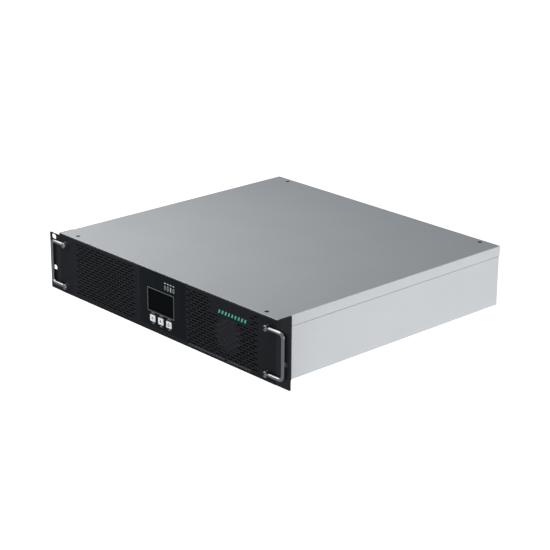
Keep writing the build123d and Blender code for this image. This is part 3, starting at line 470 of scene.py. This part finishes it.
# ---------------------------------------------------------------- mesh work
def merged(node):
    """A CAD node's loose triangles, joined into whole flat faces in a bmesh of its own."""
    bm = bmesh.new()
    bm.from_mesh(frame["nodes"][node].data)
    bmesh.ops.remove_doubles(bm, verts=bm.verts, dist=WELD)
    bmesh.ops.dissolve_limit(bm, angle_limit=FLAT, verts=bm.verts, edges=bm.edges)
    return bm


def is_sharp(edge):
    """True where two faces meet at an outward edge that a finger would feel."""
    return edge.is_manifold and edge.is_convex and edge.calc_face_angle() > SHARP


def soften(bm, radius, segments=2, keep=None):
    """Round the outward edges, or those of them that keep allows."""
    edges = [e for e in bm.edges if is_sharp(e) and (keep is None or keep(e))]
    bmesh.ops.bevel(bm, geom=edges, offset=radius, offset_type="OFFSET", segments=segments, profile=0.5,
                    affect="EDGES", clamp_overlap=False, material=-1)


def add_piece(name, bm, body, materials, replaced=(), weighted=True):
    """Make a piece of a bmesh, with smooth faces between its sharp edges, riding on its body."""
    for edge in bm.edges:
        edge.smooth = len(edge.link_faces) != 2 or edge.calc_face_angle() < SHARP
    for face in bm.faces:
        face.smooth = True
    mesh = bpy.data.meshes.new(name)
    bm.to_mesh(mesh)
    bm.free()
    for material in materials:
        mesh.materials.append(material)
    piece = bpy.data.objects.new(name, mesh)
    bpy.context.scene.collection.objects.link(piece)
    if weighted:
        normals = piece.modifiers.new("Flat faces stay flat", "WEIGHTED_NORMAL")
        normals.keep_sharp = True
    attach(piece, body)
    if replaced:
        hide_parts(*replaced)
    return piece


def middle(node):
    """Middle of a CAD node's box."""
    low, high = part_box(node)
    return (low + high) / 2


def finish(node, build, radius=0.0, segments=2, keep=None, shape=None, others=()):
    """A CAD node merged, with rounded edges and its finish.

    shape may change the bmesh, and others are the materials after the first.
    """
    bm = merged(node)
    if radius:
        soften(bm, radius, segments, keep)
    if shape:
        shape(bm)
    for face in bm.faces:
        face.material_index = min(face.material_index, len(others))
    return add_piece(f"{node}_finished", bm, frame["nodes"][node]["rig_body"],
                     [use(build)] + [use(other) for other in others], [node])


def islands(bm):
    """The separate solids of a bmesh, each as a list of faces."""
    left = set(bm.faces)
    found = []
    while left:
        ready = [left.pop()]
        group = []
        while ready:
            face = ready.pop()
            group.append(face)
            near = {f for e in face.edges for f in e.link_faces} & left
            left -= near
            ready.extend(near)
        found.append(group)
    return found


def middle_of(faces):
    """Middle of a group of faces."""
    points = [v.co for f in faces for v in f.verts]
    return sum(points, Vector()) / len(points)


def recalculated(bm):
    """Turn every face outwards."""
    bmesh.ops.recalc_face_normals(bm, faces=bm.faces)


def pull(bm, edges, step):
    """Extrude an open ring of edges by a step, and give the new ring."""
    made = bmesh.ops.extrude_edge_only(bm, edges=edges)["geom"]
    bmesh.ops.translate(bm, verts=[g for g in made if isinstance(g, bmesh.types.BMVert)], vec=step)
    return [g for g in made if isinstance(g, bmesh.types.BMEdge) and is_end(g)]


def is_end(edge):
    """True on the open end of a tube."""
    return len(edge.link_faces) == 1


def turn(bm, edges, centre, axis, angle, steps):
    """Sweep an open ring of edges round an axis, and give the new ring."""
    made = bmesh.ops.spin(bm, geom=edges, cent=centre, axis=axis, dvec=(0, 0, 0), angle=angle, steps=steps,
                          use_merge=False, use_duplicate=False)["geom_last"]
    return [g for g in made if isinstance(g, bmesh.types.BMEdge)]


def scale_about(bm, edges, centre, factors):
    """Scale the ends of a ring of edges about a point."""
    verts = list({v for e in edges for v in e.verts})
    bmesh.ops.scale(bm, verts=verts, vec=factors, space=Matrix.Translation(-centre))


def ring(bm, centre, axis_turn, radius, half_width, half_height, segments=24, section=10):
    """A closed torus whose section is an ellipse. axis_turn carries the Z axis to the ring's own axis."""
    before = set(bm.verts)
    place = Matrix.Translation((radius, 0, 0)) @ FRONT_TURN
    made = bmesh.ops.create_circle(bm, cap_ends=False, radius=1.0, segments=section,
                                   matrix=place @ Matrix.Diagonal((half_width, half_height, 1, 1)))["verts"]
    edges = list({e for v in made for e in v.link_edges})
    bmesh.ops.spin(bm, geom=edges, cent=(0, 0, 0), axis=(0, 0, 1), dvec=(0, 0, 0), angle=tau, steps=segments,
                   use_merge=True, use_duplicate=False)
    fresh = [v for v in bm.verts if v not in before]
    bmesh.ops.remove_doubles(bm, verts=fresh, dist=WELD)
    fresh = [v for v in bm.verts if v not in before]
    bmesh.ops.transform(bm, matrix=Matrix.Translation(centre) @ axis_turn, verts=fresh)


def cylinder(bm, matrix, radius, depth, segments):
    """A closed cylinder along the matrix's Z axis."""
    bmesh.ops.create_cone(bm, cap_ends=True, segments=segments, radius1=radius, radius2=radius, depth=depth,
                          matrix=matrix)


def stamp(bm, corners, centre, size, depth, line=0.0, spin=0.0):
    """A raised inked shape that faces the front, with that many corners, open inside if a line is given."""
    centre = Vector(centre)
    unit = 1 / cos(pi / corners) if corners == 4 else 1.0
    place = Matrix.Translation(centre) @ FRONT_TURN @ Matrix.Diagonal((size[0] / 2, size[1] / 2, 1, 1))
    place = place @ Matrix.Rotation(spin, 4, "Z")
    if not line:
        cylinder(bm, place, unit, depth, corners)
        return
    verts = bmesh.ops.create_circle(bm, cap_ends=False, radius=unit, segments=corners, matrix=place)["verts"]
    outer = list({e for v in verts for e in v.link_edges})
    inner = [1 - 2 * line / (length * unit * cos(pi / corners)) for length in size]
    edges = pull(bm, outer, (0, 0, 0))
    scale_about(bm, edges, centre, (inner[0], 1, inner[1]))
    edges = pull(bm, edges, (0, depth, 0))
    edges = pull(bm, edges, (0, 0, 0))
    scale_about(bm, edges, centre, (1 / inner[0], 1, 1 / inner[1]))
    pull(bm, outer, (0, depth, 0))
    bmesh.ops.remove_doubles(bm, verts=bm.verts, dist=WELD)


# ---------------------------------------------------------------- pieces
class UPS_OT_case(Operator):
    """Steel case: tray, cover, rear panel, and the frames inside it"""
    bl_idname = "ups.case"
    bl_label = "Case"

    def execute(self, context):
        edge = context.scene.ups_sizes.sheet_edge
        finish("chassis_tray", case_paint, edge, keep=long_edge)
        finish("top_cover", case_paint, edge, segments=3, keep=long_edge)
        finish("rear_panel", case_paint, edge / 2, keep=long_edge)
        finish("slot_cover", case_paint, edge / 2, keep=long_edge)
        for node in ("front_frame", "partition_wall", "battery_clamps"):
            finish(node, galvanised_sheet)
        return {"FINISHED"}


def long_edge(edge):
    """True on edges longer than the facets of a punched hole."""
    return edge.calc_length() > 2 * MM


class UPS_OT_ears(Operator):
    """Rack ears with their slots"""
    bl_idname = "ups.ears"
    bl_label = "Rack Ears"

    def execute(self, context):
        edge = context.scene.ups_sizes.sheet_edge
        for node in ("left_rack_ear", "right_rack_ear"):
            finish(node, ear_paint, edge)
        return {"FINISHED"}


class UPS_OT_front_panel(Operator):
    """Moulded front panel with its two fields of slits and the plain boss before the fan"""
    bl_idname = "ups.front_panel"
    bl_label = "Front Panel"

    def execute(self, context):
        radius = context.scene.ups_sizes.slit_edge
        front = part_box("front_panel")[0].y
        boss_reach, boss_drop = 25.5 * MM, 3 * MM
        boss = middle("front_fan_frame") - Vector((0, 0, boss_drop))

        def is_front(edge):
            return all(abs(v.co.y - front) < HAIR for v in edge.verts)

        def sort_faces(bm):
            for face in bm.faces:
                facing_front = face.normal.y < -0.98
                # Faces of the slits' rounded rims get the paler rim material, a painted highlight.
                if not facing_front and all(v.co.y < front + 1.01 * radius for v in face.verts):
                    face.material_index = 1
                elif all(((v.co - boss) * FLATTEN).length < boss_reach for v in face.verts):
                    face.material_index = 2

        finish("front_panel", panel_moulding, radius, keep=is_front, shape=sort_faces,
               others=(rim_highlight_moulding, boss_moulding))
        return {"FINISHED"}


class UPS_OT_emblem(Operator):
    """Row of slanted dashes above the fan, and two rows of fine dashes at the panel's foot"""
    bl_idname = "ups.emblem"
    bl_label = "Emblem"

    def execute(self, context):
        sizes = context.scene.ups_sizes
        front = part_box("front_panel")[0].y - sizes.ink / 2
        depth = 2 * sizes.ink
        start_x, emblem_z = middle("front_fan_frame").x - 17.6 * MM, 66.2 * MM
        bm = bmesh.new()
        dashes(bm, (start_x, front, emblem_z), sizes.emblem_length / sizes.emblem_dashes, sizes.emblem_dashes,
               fill=0.46, height=sizes.emblem_height, depth=depth)
        add_piece("emblem_dashes", bm, "case", [use(emblem_ink)])
        foot_z, foot_pitch, foot_height = 4.6 * MM, 2.9 * MM, 2.6 * MM
        bm = bmesh.new()
        for foot_x, count in ((54 * MM, 24), (129 * MM, 15)):
            dashes(bm, (foot_x, front, foot_z), foot_pitch, count, fill=0.3, height=foot_height, depth=depth)
        add_piece("foot_dashes", bm, "case", [use(script_ink)])
        return {"FINISHED"}


def dashes(bm, start, pitch, count, fill, height, depth):
    """A row of leaning dashes that starts there, each filling that part of its pitch."""
    slant = 0.32
    lean = Matrix(((1, slant, 0, 0), (0, 1, 0, 0), (0, 0, 1, 0), (0, 0, 0, 1)))
    size = Matrix.Diagonal((pitch * fill, height, depth, 1))
    for step in range(count):
        place = Matrix.Translation(Vector(start) + Vector(((step + 0.5) * pitch, 0, 0))) @ FRONT_TURN
        bmesh.ops.create_cube(bm, size=1.0, matrix=place @ lean @ size)


class UPS_OT_display(Operator):
    """Display unit: bezel, window frame, pane and the parts behind it"""
    bl_idname = "ups.display"
    bl_label = "Display"

    def execute(self, context):
        sizes = context.scene.ups_sizes
        finish("display_bezel", bezel_moulding, sizes.moulded_edge, segments=3, keep=long_edge)
        finish("display_frame", surround_moulding, sizes.fine_edge, segments=3)
        finish("display_window", smoked_pane, sizes.fine_edge)
        finish("display_pillars", tinned_brass)
        finish("display_module", socket_shell, sizes.fine_edge, keep=long_edge)
        finish("button_switches", socket_nylon, sizes.fine_edge, keep=long_edge)
        for side in ("left", "middle", "right"):
            finish(f"switch_plunger_{side}", socket_nylon)
        return {"FINISHED"}


class UPS_OT_keys(Operator):
    """Three silicone keys, each with its printed mark"""
    bl_idname = "ups.keys"
    bl_label = "Keys"

    def execute(self, context):
        sizes = context.scene.ups_sizes
        mark_size = 4.4 * MM
        marks = {"left": (3, pi, 0.0), "middle": (3, 0.0, 0.0), "right": (24, 0.0, 1.0 * MM)}
        for side, (corners, spin, line) in marks.items():
            node = f"button_{side}"
            finish(node, key_rubber)
            cap = middle(node)
            cap.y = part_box(node)[0].y - HAIR
            bm = bmesh.new()
            stamp(bm, corners, cap, (mark_size, mark_size), sizes.ink, line, spin)
            recalculated(bm)
            add_piece(f"key_mark_{side}", bm, f"button_{side}_key", [use(legend_ink)])
        return {"FINISHED"}


class UPS_OT_indicators(Operator):
    """Four indicator lamps, with a printed sign under each, and the dashes under the keys"""
    bl_idname = "ups.indicators"
    bl_label = "Indicators"

    def execute(self, context):
        sizes = context.scene.ups_sizes
        finish("light_pipes", clear_pipe, sizes.fine_edge)
        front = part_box("display_bezel")[0].y - HAIR
        low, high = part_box("light_pipes")
        pipe_width, sign_height, line_width = 3 * MM, 6 * MM, 0.6 * MM
        signs = ((24, 3.2 * MM, line_width, 0.0), (4, 2.8 * MM, line_width, pi / 4),
                 (4, 2.4 * MM, 0.0, pi / 4), (4, 2.8 * MM, line_width, pi / 4))
        pitch = (high.x - low.x - pipe_width) / (len(signs) - 1)
        sign_z = low.z - 5.4 * MM
        bm = bmesh.new()
        for step, (corners, width, line, spin) in enumerate(signs):
            place = (low.x + pipe_width / 2 + step * pitch, front, sign_z)
            stamp(bm, corners, place, (width, sign_height), sizes.ink, line, spin)
        for side in ("left", "middle", "right"):
            key_low, key_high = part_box(f"button_{side}")
            for height, width in ((key_low.z - 1.6 * MM, 4.4 * MM), (key_high.z + 1.5 * MM, 6.6 * MM)):
                place = ((key_low.x + key_high.x) / 2, front, height)
                stamp(bm, 4, place, (width, line_width), sizes.ink, spin=pi / 4)
        recalculated(bm)
        add_piece("indicator_signs", bm, "case", [use(panel_ink)])
        return {"FINISHED"}


class UPS_OT_handles(Operator):
    """Folding handles: round bar, pressed eyes, forked posts and pins"""
    bl_idname = "ups.handles"
    bl_label = "Handles"

    def execute(self, context):
        sizes = context.scene.ups_sizes
        for side in ("left", "right"):
            bar(side, sizes)
        finish("handle_posts", chrome_plate, sizes.fine_edge)
        finish("handle_pins", zinc_plate, sizes.fine_edge)
        return {"FINISHED"}


def bar(side, sizes):
    """The bent bar of one handle, with a flat eye round each pin."""
    node = f"{side}_handle_bail"
    low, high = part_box(node)
    pin_radius, neck, taper, tongue = 1.0 * MM, 5.5 * MM, 2 * MM, 1.6 * MM
    rod, bend = sizes.rod, sizes.rod_bend
    pin_x = abs(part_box("handle_pins")[1].x) - pin_radius
    neck_x = pin_x + neck
    bend_x = max(abs(low.x), abs(high.x)) - rod - bend
    y = (low.y + high.y) / 2
    legs = low.z + rod, high.z - rod
    bm = bmesh.new()
    start = Matrix.Translation((neck_x, y, legs[0])) @ Matrix.Rotation(pi / 2, 4, "Y")
    verts = bmesh.ops.create_circle(bm, cap_ends=False, radius=rod, segments=28, matrix=start)["verts"]
    first = list({e for v in verts for e in v.link_edges})
    edges = pull(bm, first, (bend_x - neck_x, 0, 0))
    edges = turn(bm, edges, (bend_x, y, legs[0] + bend), (0, -1, 0), pi / 2, 10)
    edges = pull(bm, edges, (0, 0, legs[1] - legs[0] - 2 * bend))
    edges = turn(bm, edges, (bend_x, y, legs[1] - bend), (0, -1, 0), pi / 2, 10)
    last = pull(bm, edges, (neck_x - bend_x, 0, 0))
    for ends, z in ((first, legs[0]), (last, legs[1])):
        ends = pull(bm, ends, (-taper, 0, 0))
        scale_about(bm, ends, Vector((neck_x - taper, y, z)), (1, 0.88, 0.6))
        ends = pull(bm, ends, (-tongue, 0, 0))
        bmesh.ops.holes_fill(bm, edges=ends, sides=0)
        ring(bm, (pin_x, y, z), Matrix.Identity(4), radius=1.87 * MM, half_width=0.81 * MM,
             half_height=1.5 * MM)
    recalculated(bm)
    if side == "left":
        bmesh.ops.scale(bm, verts=bm.verts, vec=(-1, 1, 1))
        bmesh.ops.reverse_faces(bm, faces=bm.faces)
    add_piece(f"{side}_handle_bar", bm, f"{side}_handle", [use(chrome_plate)], [node],
              weighted=False)


class UPS_OT_screws(Operator):
    """Screws of the case, the ears and the fans"""
    bl_idname = "ups.screws"
    bl_label = "Screws"

    def execute(self, context):
        fine = context.scene.ups_sizes.fine_edge
        finish("countersunk_screws", black_oxide, fine, segments=1)
        finish("ear_screws", black_oxide, fine, segments=1)
        finish("case_screws", zinc_plate)
        finish("fan_screws", black_oxide)
        finish("earth_stud", zinc_plate, fine)
        return {"FINISHED"}


class UPS_OT_fans(Operator):
    """Fan housings and rotors with cambered blades"""
    bl_idname = "ups.fans"
    bl_label = "Fans"

    def execute(self, context):
        sizes = context.scene.ups_sizes
        for end in ("front", "rear"):
            finish(f"{end}_fan_frame", fan_moulding, sizes.moulded_edge, keep=long_edge)
            rotor(end, sizes)
        return {"FINISHED"}


def rotor(end, sizes):
    """Hub with a ring of twisted blades, and its shaft."""
    node = f"{end}_fan_rotor"
    low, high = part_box(node)
    centre = middle(f"{end}_fan_frame")
    centre.y = 0
    hub, hub_depth, hub_round, shaft, tip_gap = 20 * MM, 30.9 * MM, 1.6 * MM, 2 * MM, 0.2 * MM
    front, back = low.y, low.y + hub_depth
    tip = (high.x - low.x) / 2 - tip_gap
    bm = bmesh.new()
    place = Matrix.Translation(centre + Vector((0, (front + back) / 2, 0))) @ FRONT_TURN
    cylinder(bm, place, hub, hub_depth, 64)
    rim = [e for e in bm.edges if all(abs(v.co.y - front) < WELD for v in e.verts)]
    bmesh.ops.bevel(bm, geom=rim, offset=hub_round, segments=4, profile=0.5, affect="EDGES", material=-1)
    place = Matrix.Translation(centre + Vector((0, (back + high.y) / 2, 0))) @ FRONT_TURN
    cylinder(bm, place, shaft, high.y - back, 24)
    for number in range(sizes.blades):
        blade(bm, centre, (front + back) / 2, hub, tip, number * tau / sizes.blades)
    recalculated(bm)
    add_piece(f"{node}_made", bm, f"{end}_rotor", [use(fan_moulding)], [node])


def blade(bm, centre, middle_y, hub, tip, start):
    """One blade: a grid wrapped round the hub, steeper near it and swept towards its tip."""
    verts = bmesh.ops.create_grid(bm, x_segments=6, y_segments=8, size=1.0)["verts"]
    faces = list({f for v in verts for f in v.link_faces})
    root, thickness, half_depth, camber, sweep = hub - 0.6 * MM, 1.3 * MM, 12.5 * MM, radians(7), radians(10)
    for vert in verts:
        out, along = (vert.co.x + 1) / 2, vert.co.y
        radius = root + out * (tip - root)
        angle = start + radians(30 - 9 * out) * along + camber * (1 - along ** 2) + sweep * out
        height = along * (half_depth - 2.0 * out * MM)
        vert.co = centre + Vector((radius * sin(angle), middle_y + height, radius * cos(angle)))
    bmesh.ops.recalc_face_normals(bm, faces=faces)
    bmesh.ops.solidify(bm, geom=faces, thickness=thickness)


class UPS_OT_guard(Operator):
    """Wire finger guard over the rear fan"""
    bl_idname = "ups.guard"
    bl_label = "Finger Guard"

    def execute(self, context):
        wire = context.scene.ups_sizes.wire
        centre = middle("rear_fan_guard")
        bm = bmesh.new()
        for radius in (10, 17, 24, 31, 38):
            ring(bm, centre, FRONT_TURN, radius * MM, wire, wire, segments=56)
        screw_reach = 35.75 * sqrt(2) * MM
        spoke_start, spoke_end, eye_radius = 9 * MM, screw_reach - 4 * MM, 3.2 * MM
        for number in range(4):
            across = Matrix.Rotation(pi / 4 + number * pi / 2, 4, "Y")
            spoke = across @ Matrix.Translation(((spoke_start + spoke_end) / 2, 0, 0))
            lay = Matrix.Translation(centre) @ spoke @ Matrix.Rotation(pi / 2, 4, "Y")
            cylinder(bm, lay, wire, spoke_end - spoke_start, 12)
            screw = centre + across @ Vector((screw_reach, 0, 0))
            ring(bm, screw, FRONT_TURN, eye_radius, wire, wire, segments=20)
        recalculated(bm)
        add_piece("finger_guard_wires", bm, "case", [use(chrome_plate)],
                  ["rear_fan_guard"], weighted=False)
        return {"FINISHED"}


class UPS_OT_power_fittings(Operator):
    """Mains inlet, outlets, breaker and battery connector"""
    bl_idname = "ups.power_fittings"
    bl_label = "Power Fittings"

    def execute(self, context):
        edge = context.scene.ups_sizes.moulded_edge
        for node in ("mains_inlet", "outlet_bank", "breaker_body", "battery_connector"):
            finish(node, socket_nylon, edge, keep=long_edge)
        finish("inlet_pins", tinned_brass, edge, keep=long_edge)
        finish("breaker_button", reset_moulding)
        return {"FINISHED"}


class UPS_OT_ports(Operator):
    """Data sockets"""
    bl_idname = "ups.ports"
    bl_label = "Data Sockets"

    def execute(self, context):
        jack_block = 40 * MM
        jacks_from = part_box("communication_ports")[1].x - jack_block

        def mark_jacks(bm):
            for group in islands(bm):
                if middle_of(group).x > jacks_from:
                    for face in group:
                        face.material_index = 1

        finish("communication_ports", socket_shell, context.scene.ups_sizes.fine_edge, keep=long_edge,
               shape=mark_jacks, others=(socket_nylon,))
        return {"FINISHED"}


class UPS_OT_batteries(Operator):
    """Batteries with their plates, tabs and leads"""
    bl_idname = "ups.batteries"
    bl_label = "Batteries"

    def execute(self, context):
        edge = context.scene.ups_sizes.sheet_edge
        for number in (1, 2, 3):
            finish(f"battery_{number}", battery_moulding)
        finish("battery_cells", lead_plate, edge)
        finish("battery_terminals", tinned_brass)
        finish("battery_links", cable_sheath)
        return {"FINISHED"}


class UPS_OT_power_stage(Operator):
    """Parts on the power board"""
    bl_idname = "ups.power_stage"
    bl_label = "Power Stage"

    def execute(self, context):
        fine = context.scene.ups_sizes.fine_edge
        finish("heat_sinks", extruded_aluminium, fine)
        finish("power_transistors", package_epoxy, fine)
        finish("bus_capacitors", capacitor_sleeve)
        finish("filter_chokes", choke_coat)
        finish("power_transformer", winding_wire, fine)
        finish("relays", package_epoxy, fine)
        finish("board_standoffs", tinned_brass, fine)
        return {"FINISHED"}


class UPS_OT_boards(Operator):
    """Circuit boards"""
    bl_idname = "ups.boards"
    bl_label = "Circuit Boards"

    def execute(self, context):
        fine = context.scene.ups_sizes.fine_edge
        for node in ("main_board", "control_board", "display_board"):
            finish(node, board_resist, fine, keep=long_edge)
        return {"FINISHED"}


# ---------------------------------------------------------------- studio
def soft_light(name, place, target, size, energy):
    """A square white softbox that faces a point."""
    light = bpy.data.lights.new(name, "AREA")
    light.shape = "SQUARE"
    light.size = size
    light.energy = energy
    lamp = bpy.data.objects.new(name, light)
    lamp.location = place
    lamp.rotation_euler = (Vector(target) - Vector(place)).to_track_quat("-Z", "Y").to_euler()
    bpy.context.scene.collection.objects.link(lamp)


class UPS_OT_studio(Operator):
    """Camera, floor and soft light"""
    bl_idname = "ups.studio"
    bl_label = "Studio"

    def execute(self, context):
        studio = context.scene.ups_studio
        add_camera(studio)
        add_floor(studio)
        add_sky(studio)
        soft_light("side_softbox", place=(2.6, 0.9, 0.55), target=(0.2, 0.0, 0.04), size=0.9, energy=16)
        soft_light("front_left_softbox", place=(-0.27, -0.34, 0.48), target=(-0.1, -0.08, 0.08), size=0.7,
                   energy=2.2)
        context.scene.view_settings.view_transform = "Standard"
        return {"FINISHED"}


def add_camera(studio):
    """Camera placed and aimed as its settings say."""
    data = bpy.data.cameras.new("camera")
    data.lens = studio.lens
    data.sensor_width = 36.0
    data.clip_start = 0.05
    camera = bpy.data.objects.new("camera", data)
    level = cos(studio.elevation)
    ahead = Vector((-sin(studio.azimuth) * level, cos(studio.azimuth) * level, -sin(studio.elevation)))
    aim = ahead.to_track_quat("-Z", "Y").to_matrix().to_4x4()
    camera.matrix_world = Matrix.Translation(studio.place) @ aim @ Matrix.Rotation(studio.roll, 4, "Z")
    bpy.context.scene.collection.objects.link(camera)
    bpy.context.scene.camera = camera


def add_floor(studio):
    """Wide pale floor a hair below the case, lit from below like a studio table."""
    half_width, drop = 12.0, 0.3 * MM
    bm = bmesh.new()
    bmesh.ops.create_grid(bm, x_segments=1, y_segments=1, size=half_width,
                          matrix=Matrix.Translation((0, 0, -drop)))
    mesh = bpy.data.meshes.new("floor")
    bm.to_mesh(mesh)
    bm.free()
    floor = bpy.data.objects.new("floor", mesh)
    bpy.context.scene.collection.objects.link(floor)
    material, tree, _place = blank("matt_acrylic_table")
    close(tree, {"Base Color": tuple(studio.floor), "Roughness": 0.9, "Emission Color": tuple(studio.floor),
                 "Emission Strength": studio.floor_glow, "Specular IOR Level": 0.1})
    mesh.materials.append(material)
    floor.visible_glossy = False


def add_sky(studio):
    """Even cool light from all round."""
    world = bpy.data.worlds.new("studio_air")
    world.use_nodes = True
    back = world.node_tree.nodes["Background"]
    back.inputs["Color"].default_value = studio.air
    back.inputs["Strength"].default_value = studio.sky
    bpy.context.scene.world = world


# ---------------------------------------------------------------- add-on
piece_operators = (UPS_OT_case, UPS_OT_ears, UPS_OT_front_panel, UPS_OT_emblem, UPS_OT_display, UPS_OT_keys,
                   UPS_OT_indicators, UPS_OT_handles, UPS_OT_screws, UPS_OT_fans, UPS_OT_guard,
                   UPS_OT_power_fittings, UPS_OT_ports, UPS_OT_batteries, UPS_OT_power_stage, UPS_OT_boards,
                   UPS_OT_studio)


class UPS_PT_sidebar(Panel):
    """Lists the settings and the pieces"""
    bl_idname = "UPS_PT_sidebar"
    bl_label = "Rack Power Supply"
    bl_space_type = "VIEW_3D"
    bl_region_type = "UI"
    bl_category = "Power Supply"

    def draw(self, context):
        scene = context.scene
        for settings in (scene.ups_colours, scene.ups_sizes, scene.ups_studio):
            box = self.layout.box()
            for name in settings.__annotations__:
                box.prop(settings, name)
        for operator in piece_operators:
            self.layout.operator(operator.bl_idname)


classes = (UPS_Colours, UPS_Sizes, UPS_Studio) + piece_operators + (UPS_PT_sidebar,)


def register():
    """Register the classes and hang the settings on the scene."""
    for item in classes:
        bpy.utils.register_class(item)
    bpy.types.Scene.ups_colours = PointerProperty(type=UPS_Colours)
    bpy.types.Scene.ups_sizes = PointerProperty(type=UPS_Sizes)
    bpy.types.Scene.ups_studio = PointerProperty(type=UPS_Studio)


def unregister():
    """Take the settings and the classes away again."""
    del bpy.types.Scene.ups_studio
    del bpy.types.Scene.ups_sizes
    del bpy.types.Scene.ups_colours
    for item in reversed(classes):
        bpy.utils.unregister_class(item)


def main():
    """Register the add-on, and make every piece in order."""
    register()
    for operator in piece_operators:
        group, name = operator.bl_idname.split(".")
        getattr(getattr(bpy.ops, group), name)()


if __name__ == "__main__":
    main()
